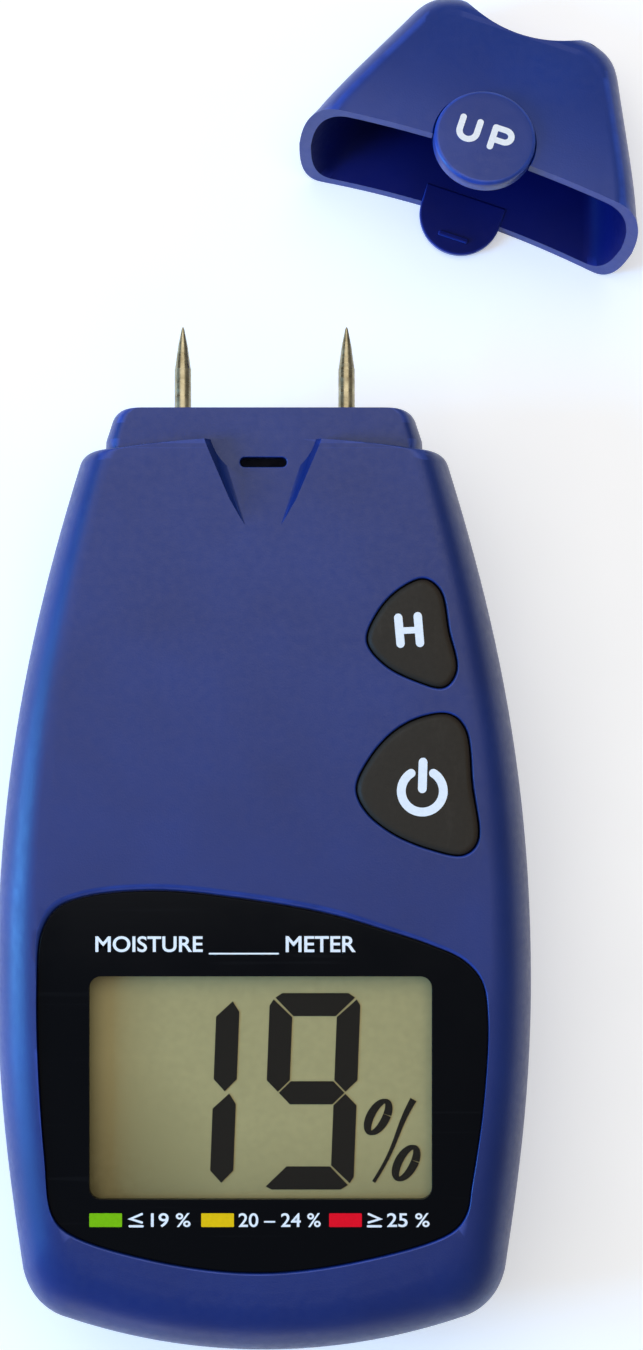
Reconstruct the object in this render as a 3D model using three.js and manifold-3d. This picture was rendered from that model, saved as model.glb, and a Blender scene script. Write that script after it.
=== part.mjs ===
// Pin-type moisture meter with its protective cap lying beside it.
// Millimetres. X is across the meter, +Y runs along it towards the pins, +Z out of the display.
// The origin is on the flat back face, on the centreline, just above the battery door.
import * as THREE from 'three';
import { mergeVertices } from 'three/addons/utils/BufferGeometryUtils.js';
import { ConvexGeometry } from 'three/addons/geometries/ConvexGeometry.js';
import Module from 'manifold-3d';

const wasm = await Module();
wasm.setup();

// ---- driving dimensions -------------------------------------------------------------------
const GAP = 0.3; // running gap between neighbouring pieces
const WIDTH = 72; // widest point of the body
const THICK = 30; // back face to front face
const PARTING_Z = 18; // height of the joint between the front and the rear shell
const BOTTOM_Y = -68.1; // rounded bottom end
const LEDGE_Y = 53.9; // middle of the shoulder that the cap's rim meets
const LEDGE_RADIUS = 161; // the shoulder is a shallow arc, highest in the middle
const SLOPE_START_Y = 10; // the back starts to rise towards the neck here
const BACK_AT_LEDGE = 8.03; // height of the back surface at the shoulder
const WALL = 2.4; // front and back wall
const SIDE_WALL = 2.0;
const FRONT_ROLL = 7.4; // width of the rounded edge round the front face
const REAR_ROLL = 5.3;
const REAR_DRAFT = 1.2;

const NECK_LENGTH = 4.1;
const NECK_FRONT = 27.3;
const NECK_BACK = 10.5;
const NECK_WALL = 1.8;

const CAP_LENGTH = 24;
const CAP_WALL = 1.5;
const CAP_BACK_SLOPE = THREE.MathUtils.degToRad(15.5);
const CAP_FRONT_DROP = 2.2; // the cap's front falls this much towards its closed end
const CAP_RIM_HALF = 23.5;
const THUMB_RADIUS = 6.9;
const THUMB_INSET = 1.44; // the thumb pad's centre stands this far inside the rim
const THUMB_TOP = 30.9;
const CAP_REST_X = 29.7; // where the thumb pad's centre lies when the cap is off
const CAP_REST_Y = 94.8;
const CAP_REST_YAW = THREE.MathUtils.degToRad(-18.4);

const PIN_SPACING = 22.2;
const PIN_RADIUS = 1.12;
const PIN_Z = 18.4;
const PIN_TIP_Y = 69.8;
const PIN_CONE = 5.6;

const BOARD_Z = 20.4;
const BOARD_THICK = 1.6;
const BOARD_TOP = BOARD_Z + BOARD_THICK;

const LCD_WINDOW = { x0: -22.8, x1: 22.2, y0: -46.3, y1: -17.0 };
const KEY_FLANGE_Z = 24.9;
const KEY_FLANGE_THICK = 1.8;

const BATTERY = { width: 26.5, length: 46, thick: 17.5, y0: -56.6, z0: 2.35 };
const DOOR = { half: 14.7, y0: -58.4, y1: -7.8, thick: 2.0, knuckle: 1.5 };
const DOOR_PIN_RADIUS = 0.5;

const LOWER_SCREW = { x: 20.5, y: -57.3, seat: 8.6 };
const UPPER_SCREW = { x: 17.5, y: 44, seat: 10 };
const BOARD_SCREWS = [[-21, 34], [4, 36], [-23, -6], [6, -3]];

// ---- materials ----------------------------------------------------------------------------
function plastic(color, roughness) {
  return new THREE.MeshStandardMaterial({ color, roughness, metalness: 0 });
}

function metal(color, roughness) {
  return new THREE.MeshStandardMaterial({ color, roughness, metalness: 1 });
}

const BLUE = plastic(0x39457d, 0.5);
const KEY_BROWN = plastic(0x39322a, 0.7);
const LENS_BLACK = plastic(0x101012, 0.15);
const CLEAR = new THREE.MeshStandardMaterial({ color: 0xdde4e0, roughness: 0.05, transparent: true, opacity: 0.3 });
const LCD_GREY = plastic(0x9b9673, 0.3);
const FRAME_GREY = plastic(0x55565a, 0.6);
const BOARD_GREEN = plastic(0x1f5a35, 0.5);
const CHIP_BLACK = plastic(0x18181a, 0.5);
const STEEL = metal(0x8d8468, 0.35);
const BRASS = metal(0xb08d45, 0.35);
const ZINC = metal(0x9a9ca0, 0.4);
const CARBON = plastic(0x151515, 0.8);
const BATTERY_JACKET = plastic(0x2b3540, 0.4);
const WIRE_RED = plastic(0xa51d1d, 0.5);
const WIRE_BLACK = plastic(0x161616, 0.5);

// ---- solids -------------------------------------------------------------------------------
function toSolid(geometry) {
  const bare = geometry.clone();
  bare.deleteAttribute('normal');
  bare.deleteAttribute('uv');
  const merged = mergeVertices(bare, 1e-4);
  const index = Array.from(merged.index.array);
  const kept = [];
  for (let i = 0; i < index.length; i += 3) {
    const [a, b, c] = index.slice(i, i + 3);
    if (a !== b && b !== c && c !== a) kept.push(a, b, c);
  }
  const vertProperties = new Float32Array(merged.attributes.position.array);
  const triVerts = new Uint32Array(kept);
  return new wasm.Manifold(new wasm.Mesh({ numProp: 3, vertProperties, triVerts }));
}

function toGeometry(solid) {
  const mesh = solid.getMesh();
  const geometry = new THREE.BufferGeometry();
  geometry.setAttribute('position', new THREE.BufferAttribute(new Float32Array(mesh.vertProperties), 3));
  geometry.setIndex(new THREE.BufferAttribute(new Uint32Array(mesh.triVerts), 1));
  geometry.computeVertexNormals();
  return geometry;
}

function joined(...solids) {
  return solids.reduce((all, one) => all.add(one));
}

function cut(solid, ...tools) {
  return tools.reduce((rest, tool) => rest.subtract(tool), solid);
}

function box(x0, x1, y0, y1, z0, z1) {
  const geometry = new THREE.BoxGeometry(x1 - x0, y1 - y0, z1 - z0);
  geometry.translate((x0 + x1) / 2, (y0 + y1) / 2, (z0 + z1) / 2);
  return toSolid(geometry);
}

function rod(radius, from, to, sides = 20, endRadius = radius) {
  const start = new THREE.Vector3(...from);
  const end = new THREE.Vector3(...to);
  const geometry = new THREE.CylinderGeometry(endRadius, radius, start.distanceTo(end), sides);
  const along = end.clone().sub(start).normalize();
  geometry.applyQuaternion(new THREE.Quaternion().setFromUnitVectors(new THREE.Vector3(0, 1, 0), along));
  const middle = start.add(end).multiplyScalar(0.5);
  geometry.translate(middle.x, middle.y, middle.z);
  return toSolid(geometry);
}

function upright(radius, x, y, z0, z1, sides = 20) {
  return rod(radius, [x, y, z0], [x, y, z1], sides);
}

function prism(points, z0, z1) {
  const geometry = new THREE.ExtrudeGeometry(new THREE.Shape(points), { depth: z1 - z0, bevelEnabled: false });
  geometry.translate(0, 0, z0);
  return toSolid(geometry);
}

function roundedRectangle(x0, x1, y0, y1, radius, divisions = 4) {
  const path = new THREE.Path();
  path.absarc(x1 - radius, y1 - radius, radius, 0, Math.PI / 2);
  path.absarc(x0 + radius, y1 - radius, radius, Math.PI / 2, Math.PI);
  path.absarc(x0 + radius, y0 + radius, radius, Math.PI, 1.5 * Math.PI);
  path.absarc(x1 - radius, y0 + radius, radius, 1.5 * Math.PI, 2 * Math.PI);
  const points = path.getPoints(divisions);
  return points.filter((p, i) => i === 0 || p.distanceTo(points[i - 1]) > 1e-3);
}

function smoothLoop(corners, count) {
  const knots = corners.map(([x, y]) => new THREE.Vector3(x, y, 0));
  const curve = new THREE.CatmullRomCurve3(knots, true, 'centripetal');
  return curve.getSpacedPoints(count).slice(0, count).map((p) => new THREE.Vector2(p.x, p.y));
}

// The loop moved outwards by a distance, point by point along its normals.
function grownLoop(points, distance) {
  const turn = THREE.ShapeUtils.area(points) > 0 ? 1 : -1;
  return points.map((point, i) => {
    const before = points[(i + points.length - 1) % points.length];
    const after = points[(i + 1) % points.length];
    const along = after.clone().sub(before).normalize();
    return new THREE.Vector2(point.x + turn * along.y * distance, point.y - turn * along.x * distance);
  });
}

function wire(points, radius, steps) {
  const route = new THREE.CatmullRomCurve3(points.map((p) => new THREE.Vector3(...p)), false, 'centripetal');
  const section = new THREE.Shape();
  section.absarc(0, 0, radius, 0, 2 * Math.PI);
  return new THREE.ExtrudeGeometry(section, { steps, extrudePath: route, curveSegments: 3 });
}

// ---- rounded casing blocks ----------------------------------------------------------------
// A casing is a stack of outlines, symmetric about X = 0. Level t runs from -1 at the back
// through 0 at the parting plane to 1 at the front, and each outline shrinks by the roll there.
const OUTER_LEVELS = [-1, -0.9, -0.7, -0.35, 0, 0.4, 0.7, 0.88, 0.97, 1];
const INNER_LEVELS = [-1, -0.75, 0, 0.6, 0.9, 1];

function roll(t, front, rear, draft) {
  if (t >= 0) return front * (1 - Math.pow(1 - Math.pow(t, 2.6), 1 / 2.6));
  const s = -t;
  return draft * s + rear * (1 - Math.pow(1 - Math.pow(s, 3), 1 / 3));
}

function casing(half, frontZ, backZ, sideRoll, endRoll, span, levels = OUTER_LEVELS) {
  const loop = [...half];
  for (let i = half.length - 1; i >= 0; i -= 1) {
    if (Math.abs(half[i].x) > 1e-6) loop.push(new THREE.Vector2(-half[i].x, half[i].y));
  }
  const place = (point, t) => {
    const x = point.x * (1 - sideRoll(t) / (WIDTH / 2));
    const y = LEDGE_Y + (point.y - LEDGE_Y) * (1 - endRoll(t) / span);
    const z = t >= 0
      ? PARTING_Z + t * (frontZ(point.y) - PARTING_Z)
      : PARTING_Z + t * (PARTING_Z - backZ(point.y));
    return [x, y, z];
  };
  const triangles = [];
  const quad = (a, b, c, d) => triangles.push(...a, ...b, ...c, ...a, ...c, ...d);
  for (let k = 0; k + 1 < levels.length; k += 1) {
    const low = levels[k];
    const high = levels[k + 1];
    for (let i = 0; i < loop.length; i += 1) {
      const next = loop[(i + 1) % loop.length];
      quad(place(loop[i], low), place(next, low), place(next, high), place(loop[i], high));
    }
  }
  const mirrored = (p) => new THREE.Vector2(-p.x, p.y);
  for (let i = 0; i + 1 < half.length; i += 1) {
    const right = half[i];
    const rightNext = half[i + 1];
    quad(place(right, 1), place(rightNext, 1), place(mirrored(rightNext), 1), place(mirrored(right), 1));
    quad(place(right, -1), place(mirrored(right), -1), place(mirrored(rightNext), -1), place(rightNext, -1));
  }
  const geometry = new THREE.BufferGeometry();
  geometry.setAttribute('position', new THREE.Float32BufferAttribute(triangles, 3));
  return toSolid(geometry);
}

// The back surface is flat from the bottom end, then rises smoothly to the shoulder.
function bodyBack(y) {
  const rise = Math.max(0, (y - SLOPE_START_Y) / (LEDGE_Y - SLOPE_START_Y));
  return BACK_AT_LEDGE * Math.pow(rise, 1.35);
}

const ledgeAt = (x) => LEDGE_Y - LEDGE_RADIUS + Math.sqrt(LEDGE_RADIUS * LEDGE_RADIUS - x * x);

// Right half of the body's outline, from the bottom centre to the middle of the shoulder.
function bodyHalf(divisions) {
  const bottomRadius = 83.8;
  const bottomHalf = 26.5;
  const sweep = Math.asin(bottomHalf / bottomRadius);
  const path = new THREE.Path();
  path.absarc(0, BOTTOM_Y + bottomRadius, bottomRadius, -Math.PI / 2, -Math.PI / 2 + sweep);
  path.bezierCurveTo(29.4, -63.0, 31.7, -60.8, 32.5, -57.3);
  path.bezierCurveTo(34.4, -45, WIDTH / 2, -33, WIDTH / 2, -18.5);
  path.bezierCurveTo(WIDTH / 2, 8, 31.6, 29, 24.8, 50.7);
  path.quadraticCurveTo(24.3, ledgeAt(24.3), 22.6, ledgeAt(22.6));
  const points = path.getPoints(divisions);
  for (let x = 19; x >= 0; x -= 3.8) points.push(new THREE.Vector2(x, ledgeAt(x)));
  return points.filter((p, i) => i === 0 || p.distanceTo(points[i - 1]) > 1e-3);
}

function shrunkHalf(half, side, bottom, top) {
  const low = half[0].y;
  const high = half[half.length - 1].y;
  const stretch = (high - top - low - bottom) / (high - low);
  const narrow = 1 - side / (WIDTH / 2);
  return half.map((p) => new THREE.Vector2(p.x * narrow, low + bottom + (p.y - low) * stretch));
}

function neckHalf(inset) {
  const top = LEDGE_Y + NECK_LENGTH - inset;
  return [
    new THREE.Vector2(21.5 - inset, 50),
    new THREE.Vector2(21.3 - inset, LEDGE_Y),
    new THREE.Vector2(20.5 - inset, top - 1.8),
    new THREE.Vector2(20.1 - inset, top - 0.6),
    new THREE.Vector2(18.4 - inset, top),
  ];
}

// Right half of the cap's outline from its rim to its closed end.
function capHalf(inset, rimY) {
  const top = LEDGE_Y + GAP + CAP_LENGTH - inset;
  const lean = 0.44;
  const path = new THREE.Path();
  path.moveTo(CAP_RIM_HALF + lean * (LEDGE_Y + GAP - rimY) - inset, rimY);
  path.lineTo(CAP_RIM_HALF - inset, LEDGE_Y + GAP);
  path.bezierCurveTo(21.9 - inset, 59, 18.3 - inset, 66.5, 15.4 - inset, 73.6);
  path.bezierCurveTo(14.2 - inset, 76.4, 13.0 - inset, 77.4, 10.2 - inset, top);
  const points = path.getPoints(5);
  return points.filter((p, i) => i === 0 || p.distanceTo(points[i - 1]) > 1e-3);
}

const frontFlat = (z) => () => z;
const neckBack = (y) => NECK_BACK + Math.tan(CAP_BACK_SLOPE) * Math.max(0, y - LEDGE_Y);
const capBack = (y) => BACK_AT_LEDGE + Math.tan(CAP_BACK_SLOPE) * (y - LEDGE_Y - GAP);
const capFront = (y) => {
  const along = Math.max(0, (y - LEDGE_Y) / CAP_LENGTH);
  return THICK - CAP_FRONT_DROP * along * along;
};
const sideRoll = (t) => roll(t, FRONT_ROLL, REAR_ROLL, REAR_DRAFT);
const endRoll = (t) => roll(t, 9.5, 7.0, 1.4);
const neckRoll = (t) => roll(t, 4.2, 3.6, 0.8);
const noRoll = () => 0;
const capEndRoll = (t) => roll(t, 4.6, 3.4, 0.4);

// ---- shared cutting tools -----------------------------------------------------------------
const LENS_KNOTS = [
  [-29.6, -18.6], [-29.1, -11.5], [-27.2, -8.3], [-23.6, -6.7], [-14.3, -5.8], [-2.7, -6.9], [8.7, -8.9],
  [16.0, -11.0], [21.9, -12.9], [26.3, -14.9], [28.7, -17.6], [29.5, -22.5], [28.9, -34.1], [27.4, -44.4],
  [26.7, -48.2], [24.7, -50.6], [12.8, -54.3], [-0.4, -55.9], [-13.7, -54.4], [-25.5, -50.7], [-27.7, -48.2],
  [-28.6, -40.9], [-29.4, -29.3],
];
const HOLD_KNOTS = [
  [13.8, 27.1], [15.4, 31.1], [18.2, 33.9], [21.2, 35.1], [23.2, 33.6], [24.3, 28.4], [25.3, 23.2],
  [23.8, 21.1], [20.2, 21.9], [16.0, 24.1],
];
const POWER_KNOTS = [
  [12.4, 7.7], [14.2, 11.7], [17.3, 15.1], [21.0, 17.0], [24.6, 17.3], [26.5, 15.4], [27.4, 8.1],
  [28.1, 0.8], [26.4, -0.9], [22.1, -0.2], [17.1, 1.9], [13.6, 4.8],
];
const lensLoop = smoothLoop(LENS_KNOTS, 46);
const holdLoop = smoothLoop(HOLD_KNOTS, 22);
const powerLoop = smoothLoop(POWER_KNOTS, 24);
const thumbY = LEDGE_Y + GAP + THUMB_INSET;

function thumbRecess() {
  const points = [];
  const ring = (x, y, z, radius, count) => {
    for (let i = 0; i < count; i += 1) {
      const angle = (2 * Math.PI * i) / count;
      points.push(new THREE.Vector3(x + radius * Math.cos(angle), y + radius * Math.sin(angle), z));
    }
  };
  const recessRadius = 7.5;
  ring(0, thumbY, NECK_FRONT, recessRadius, 28);
  ring(0, thumbY, THICK + 2, recessRadius, 28);
  ring(0, 44.5, THICK, 3.2, 14);
  ring(0, 42.2, THICK + 2, 3.2, 14);
  return toSolid(new ConvexGeometry(points));
}

function screwPoints() {
  const points = [];
  for (const screw of [LOWER_SCREW, UPPER_SCREW]) {
    points.push({ ...screw, x: -screw.x });
    points.push({ ...screw });
  }
  return points;
}

// ---- casing -------------------------------------------------------------------------------
function casingWhole() {
  const outer = casing(bodyHalf(5), frontFlat(THICK), bodyBack, sideRoll, endRoll, LEDGE_Y - BOTTOM_Y);
  const neck = casing(neckHalf(0), frontFlat(NECK_FRONT), neckBack, neckRoll, noRoll, 1);
  const inner = casing(
    shrunkHalf(bodyHalf(3), SIDE_WALL, 2.2, NECK_WALL),
    frontFlat(THICK - WALL),
    (y) => bodyBack(y) + 2.1,
    sideRoll,
    endRoll,
    LEDGE_Y - BOTTOM_Y,
    INNER_LEVELS,
  );
  const neckInner = casing(
    neckHalf(NECK_WALL),
    frontFlat(NECK_FRONT - NECK_WALL),
    (y) => neckBack(y) + NECK_WALL,
    neckRoll,
    noRoll,
    1,
    INNER_LEVELS,
  );
  return cut(joined(outer, neck), inner, neckInner);
}

function frontShell(whole) {
  let shell = whole.intersect(box(-60, 60, -90, 90, PARTING_Z + GAP / 2, 60));
  const additions = [upright(9.2, 0, thumbY - 1, NECK_FRONT - 1.9, 28.4, 28)];
  for (const screw of screwPoints()) additions.push(upright(2.6, screw.x, screw.y, PARTING_Z + 0.3, 28));
  for (const [x, y] of BOARD_SCREWS) additions.push(upright(2.2, x, y, BOARD_TOP + GAP, 28));
  const envelope = casing(
    bodyHalf(4), frontFlat(THICK - 0.6), bodyBack, (t) => sideRoll(t) + 0.6, (t) => endRoll(t) + 0.6,
    LEDGE_Y - BOTTOM_Y,
  );
  for (const addition of additions) shell = shell.add(addition.intersect(envelope));
  for (const side of [-1, 1]) {
    const x = (side * PIN_SPACING) / 2;
    shell = shell.add(box(x - 3.2, x + 3.2, 51.3, 52.7, PARTING_Z + 0.3, NECK_FRONT - 1));
    shell = shell.subtract(rod(2.7, [x, 48.5, PIN_Z], [x, 54.5, PIN_Z]));
    shell = shell.subtract(rod(PIN_RADIUS + GAP, [x, 54.5, PIN_Z], [x, 62, PIN_Z]));
  }
  for (const screw of screwPoints()) shell = shell.subtract(upright(1.3, screw.x, screw.y, 17, 25.6, 12));
  for (const [x, y] of BOARD_SCREWS) shell = shell.subtract(upright(1.2, x, y, 20, 26.2, 12));
  return cut(
    shell,
    thumbRecess(),
    prism(roundedRectangle(-3.1, 3.1, 50.1, 51.4, 0.65, 3), 20, 40),
    prism(grownLoop(lensLoop, GAP), 28.8, 40),
    box(-24.8, 24.2, -48.3, -16.3, 20, 40),
    prism(grownLoop(holdLoop, GAP), 20, 40),
    prism(grownLoop(powerLoop, GAP), 20, 40),
  );
}

function rearShell(whole) {
  let shell = whole.intersect(box(-60, 60, -90, 90, -10, PARTING_Z - GAP / 2));
  const envelope = casing(
    bodyHalf(4), frontFlat(THICK), (y) => bodyBack(y) + 0.6, (t) => sideRoll(t) + 0.6, (t) => endRoll(t) + 0.6,
    LEDGE_Y - BOTTOM_Y,
  );
  const top = PARTING_Z - 0.3;
  const ribTop = PARTING_Z - 0.5;
  const additions = screwPoints().map((screw) => upright(3.4, screw.x, screw.y, 1, top));
  additions.push(upright(8, 0, LEDGE_Y - 0.6, BACK_AT_LEDGE - 1, NECK_BACK + 1.9, 24));
  additions.push(box(-16.5, -15.2, -61.5, -6.2, 1, ribTop));
  additions.push(box(15.2, 16.5, -61.5, -6.2, 1, ribTop));
  additions.push(box(-16.5, 16.5, -61.7, -60.5, 1, ribTop));
  additions.push(box(-16.5, -8, -5.9, -4.7, 1, 12));
  additions.push(box(8, 16.5, -5.9, -4.7, 1, 12));
  for (const addition of additions) shell = shell.add(addition.intersect(envelope));
  for (const side of [-1, 1]) {
    const x = (side * PIN_SPACING) / 2;
    shell = shell.add(box(x - 3.2, x + 3.2, 51.3, 52.7, NECK_BACK + 0.5, top));
    shell = shell.subtract(rod(2.7, [x, 48.5, PIN_Z], [x, 54.5, PIN_Z]));
    shell = shell.subtract(rod(PIN_RADIUS + GAP, [x, 54.5, PIN_Z], [x, 62, PIN_Z]));
  }
  for (const screw of screwPoints()) {
    shell = shell.subtract(upright(2.6, screw.x, screw.y, -5, screw.seat));
    shell = shell.subtract(upright(1.4, screw.x, screw.y, 0, 30, 12));
  }
  const doorHole = box(-DOOR.half - GAP, DOOR.half + GAP, DOOR.y0 - 1.8, DOOR.y1 + GAP, -5, 4);
  const pinHole = rod(DOOR_PIN_RADIUS + GAP, [-17.2, DOOR.y0, 1.5], [17.2, DOOR.y0, 1.5], 12);
  const tongueSeat = upright(6.3, 0, LEDGE_Y, -5, NECK_BACK, 28);
  return cut(shell, doorHole, pinHole, tongueSeat);
}

function batteryDoor() {
  const plate = box(-DOOR.half, DOOR.half, DOOR.y0, DOOR.y1, 0, DOOR.thick);
  const knuckle = rod(DOOR.knuckle, [-DOOR.half, DOOR.y0, 1.5], [DOOR.half, DOOR.y0, 1.5], 20);
  const bore = rod(DOOR_PIN_RADIUS + GAP, [-20, DOOR.y0, 1.5], [20, DOOR.y0, 1.5], 12);
  const notch = rod(4.2, [0, DOOR.y1 - 2.5, -3.3], [0, DOOR.y1 - 2.5, 0.7], 24);
  return cut(joined(plate, knuckle), bore, notch);
}

// ---- cap ----------------------------------------------------------------------------------
// The cap is drawn where it sits when it is pushed on, and its group then lays it beside the meter.
function capShell() {
  const rim = LEDGE_Y + GAP;
  const outer = casing(capHalf(0, rim - 2.4), capFront, capBack, sideRoll, capEndRoll, CAP_LENGTH);
  const inner = casing(
    capHalf(CAP_WALL, rim - 4),
    (y) => capFront(y) - CAP_WALL,
    (y) => capBack(y) + CAP_WALL,
    sideRoll,
    noRoll,
    1,
    INNER_LEVELS,
  );
  const scallopRadius = 15;
  const scallopY = rim + CAP_LENGTH + scallopRadius - 3.4;
  const scallop = upright(scallopRadius, 0, scallopY, 0, 40, 72);
  const dent = upright(scallopRadius + CAP_WALL, 0, scallopY, 0, 40, 72);
  const rimArc = upright(LEDGE_RADIUS, 0, rim - LEDGE_RADIUS, -5, 40, 360);
  const slope = CAP_BACK_SLOPE;
  const tongueShape = new THREE.Shape();
  tongueShape.moveTo(-5.85, 3);
  tongueShape.absarc(0, 0.3, 5.85, Math.PI, 2 * Math.PI);
  tongueShape.lineTo(5.85, 3);
  const tongueGeometry = new THREE.ExtrudeGeometry(tongueShape, { depth: 1.3, bevelEnabled: false, curveSegments: 16 });
  tongueGeometry.translate(0, 0, 0.35);
  tongueGeometry.rotateX(slope);
  tongueGeometry.translate(0, rim, BACK_AT_LEDGE);
  const ribGeometry = new THREE.BoxGeometry(4.4, 0.7, 0.8);
  ribGeometry.translate(0, -3.2, 1.7);
  ribGeometry.rotateX(slope);
  ribGeometry.translate(0, rim, BACK_AT_LEDGE);
  const hollow = cut(outer, inner.subtract(dent), scallop, rimArc);
  const tongue = joined(toSolid(tongueGeometry), toSolid(ribGeometry));
  return cut(hollow.add(tongue), upright(THUMB_RADIUS + GAP, 0, thumbY, 26, 40, 40));
}

function thumbPad() {
  const profile = [
    [0, 28.4], [THUMB_RADIUS - 0.4, 28.4], [THUMB_RADIUS, 28.8], [THUMB_RADIUS, THUMB_TOP - 0.6],
    [THUMB_RADIUS - 0.6, THUMB_TOP - 0.1], [4, THUMB_TOP], [0, THUMB_TOP],
  ];
  const geometry = new THREE.LatheGeometry(profile.map(([r, z]) => new THREE.Vector2(r, z)), 40);
  geometry.rotateX(Math.PI / 2);
  geometry.translate(0, thumbY, 0);
  return toSolid(geometry);
}

// ---- display ------------------------------------------------------------------------------
const WINDOW_LOOP = roundedRectangle(LCD_WINDOW.x0, LCD_WINDOW.x1, LCD_WINDOW.y0, LCD_WINDOW.y1, 1.4);

function lensMask() {
  return prism(lensLoop, 29.1, 30.15).subtract(prism(WINDOW_LOOP, 20, 40));
}

function lcdFrame() {
  const ring = prism(roundedRectangle(-27, 26, -52.2, -14.9, 4), BOARD_TOP + GAP, 26.4);
  return ring.subtract(box(-24.9, 24.3, -48.7, -16.1, 20, 40));
}

// ---- board, keys and wiring ---------------------------------------------------------------
function mainBoard() {
  const outline = [
    [-25, -54.2], [25, -54.2], [25, 10], [22.8, 13], [22.8, 37.5], [21.3, 39], [-21.3, 39], [-22.8, 37.5],
    [-22.8, 13], [-25, 10],
  ];
  let board = prism(outline.map(([x, y]) => new THREE.Vector2(x, y)), BOARD_Z, BOARD_TOP);
  for (const [x, y] of BOARD_SCREWS) board = board.subtract(upright(1.3, x, y, 15, 25, 12));
  return board;
}

function key(loop) {
  const plug = prism(loop, 24.2, THICK + 0.1);
  const crown = prism(grownLoop(loop, -0.5), THICK, THICK + 0.5);
  const flange = prism(grownLoop(loop, 0.8), KEY_FLANGE_Z, KEY_FLANGE_Z + KEY_FLANGE_THICK);
  return joined(plug, crown, flange);
}

const HOLD_CENTRE = [19.8, 28.4];
const POWER_CENTRE = [20.9, 7.6];

function keypadMat() {
  let mat = prism(roundedRectangle(10, 22.5, -4.2, 37.2, 1.5), BOARD_TOP + GAP, BOARD_TOP + 1);
  for (const [x, y] of [HOLD_CENTRE, POWER_CENTRE]) {
    mat = mat.subtract(upright(3.0, Math.min(x, 18.6), y, 15, 30, 16));
  }
  return mat;
}

function batteryCell() {
  const { width, length, thick, y0, z0 } = BATTERY;
  const section = roundedRectangle(-width / 2, width / 2, z0, z0 + thick, 1.6, 3);
  const geometry = new THREE.ExtrudeGeometry(new THREE.Shape(section), { depth: length, bevelEnabled: false });
  geometry.rotateX(Math.PI / 2);
  geometry.translate(0, y0 + length, 0);
  const middle = z0 + thick / 2;
  const top = y0 + length;
  return joined(
    toSolid(geometry),
    rod(2.9, [-6.3, top - 0.5, middle], [-6.3, top + 2.4, middle], 18),
    rod(3.9, [6.3, top - 0.5, middle], [6.3, top + 2.4, middle], 6),
  );
}

function batterySnap() {
  const { width, length, thick, y0, z0 } = BATTERY;
  const middle = z0 + thick / 2;
  const low = y0 + length + GAP;
  const plate = box(-width / 2 + 0.4, width / 2 - 0.4, low, low + 3.9, z0 + 1.5, z0 + thick - 1.5);
  return cut(
    plate,
    rod(3.2, [-6.3, low - 1, middle], [-6.3, low + 2.6, middle], 18),
    rod(4.3, [6.3, low - 1, middle], [6.3, low + 2.6, middle], 18),
  );
}

function pinPost(x) {
  const coneStart = PIN_TIP_Y - PIN_CONE;
  return joined(
    rod(PIN_RADIUS, [x, 50, PIN_Z], [x, coneStart, PIN_Z], 16),
    rod(PIN_RADIUS, [x, coneStart, PIN_Z], [x, PIN_TIP_Y, PIN_Z], 16, 0.12),
  );
}

function pinSocket(x) {
  const sleeve = rod(2.4, [x, 49, PIN_Z], [x, 55.9, PIN_Z], 20);
  return sleeve.subtract(rod(PIN_RADIUS + GAP, [x, 47.5, PIN_Z], [x, 57.5, PIN_Z], 16));
}

function pinLug(x) {
  const ring = rod(2.3, [x, 47.9, PIN_Z], [x, 48.7, PIN_Z], 20);
  const tail = box(x - 1, x + 1, 47.9, 48.7, PIN_Z + 1.6, PIN_Z + 4);
  return joined(ring, tail).subtract(rod(1.2, [x, 47.5, PIN_Z], [x, 49.5, PIN_Z], 12));
}

function pinLead(x) {
  return wire([
    [x, 47.6, 21.2], [x, 45.6, 21.5], [x, 42.6, 24], [x, 39.8, 24.3], [x, 38.2, 22.9],
  ], 0.6, 14);
}

function caseScrew({ x, y, seat }) {
  const head = upright(2.2, x, y, seat - 1.8, seat - GAP, 20);
  const shank = upright(1.0, x, y, seat - 1, 25, 12);
  const slot = box(x - 1.5, x + 1.5, y - 0.25, y + 0.25, seat - 3, seat - 1.2);
  const cross = box(x - 0.25, x + 0.25, y - 1.5, y + 1.5, seat - 3, seat - 1.2);
  return cut(joined(head, shank), slot, cross);
}

function boardScrew([x, y]) {
  return joined(upright(1.9, x, y, BOARD_Z - 1.5, BOARD_Z - GAP, 16), upright(0.9, x, y, BOARD_Z - 1, 25.6, 10));
}

function chip() {
  const body = box(-13, -4, 15, 24, BOARD_TOP + 0.5, BOARD_TOP + 1.9);
  const legs = [];
  for (let i = 0; i < 8; i += 1) {
    const along = 0.9 + i * 1.02;
    legs.push(box(-14.2, -2.8, 15 + along - 0.2, 15 + along + 0.2, BOARD_TOP + GAP, BOARD_TOP + 0.8));
  }
  return joined(body, ...legs);
}

// ---- assembly -----------------------------------------------------------------------------
const meter = new THREE.Group();

function add(name, shape, material, parent = meter) {
  const geometry = shape instanceof THREE.BufferGeometry ? shape : toGeometry(shape);
  const mesh = new THREE.Mesh(geometry, material);
  mesh.name = name;
  parent.add(mesh);
  return mesh;
}

const whole = casingWhole();
add('front_shell', frontShell(whole), BLUE);
add('rear_shell', rearShell(whole), BLUE);
add('battery_door', batteryDoor(), BLUE);
add('door_hinge_pin', rod(DOOR_PIN_RADIUS, [-16.9, DOOR.y0, 1.5], [16.9, DOOR.y0, 1.5], 12), ZINC);

add('lens_mask', lensMask(), LENS_BLACK);
add('display_window', box(-24.5, 23.9, -48.0, -16.6, 27.7, 28.8), CLEAR);
add('lcd_frame', lcdFrame(), FRAME_GREY);
add('lcd_panel', box(-24.6, 24.0, -48.4, -16.4, 24.6, 26.9), LCD_GREY);
add('zebra_strip_lower', box(-20, 19, -48.2, -46.4, BOARD_TOP + GAP, 24.3), CARBON);
add('zebra_strip_upper', box(-20, 19, -18.6, -16.8, BOARD_TOP + GAP, 24.3), CARBON);

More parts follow.
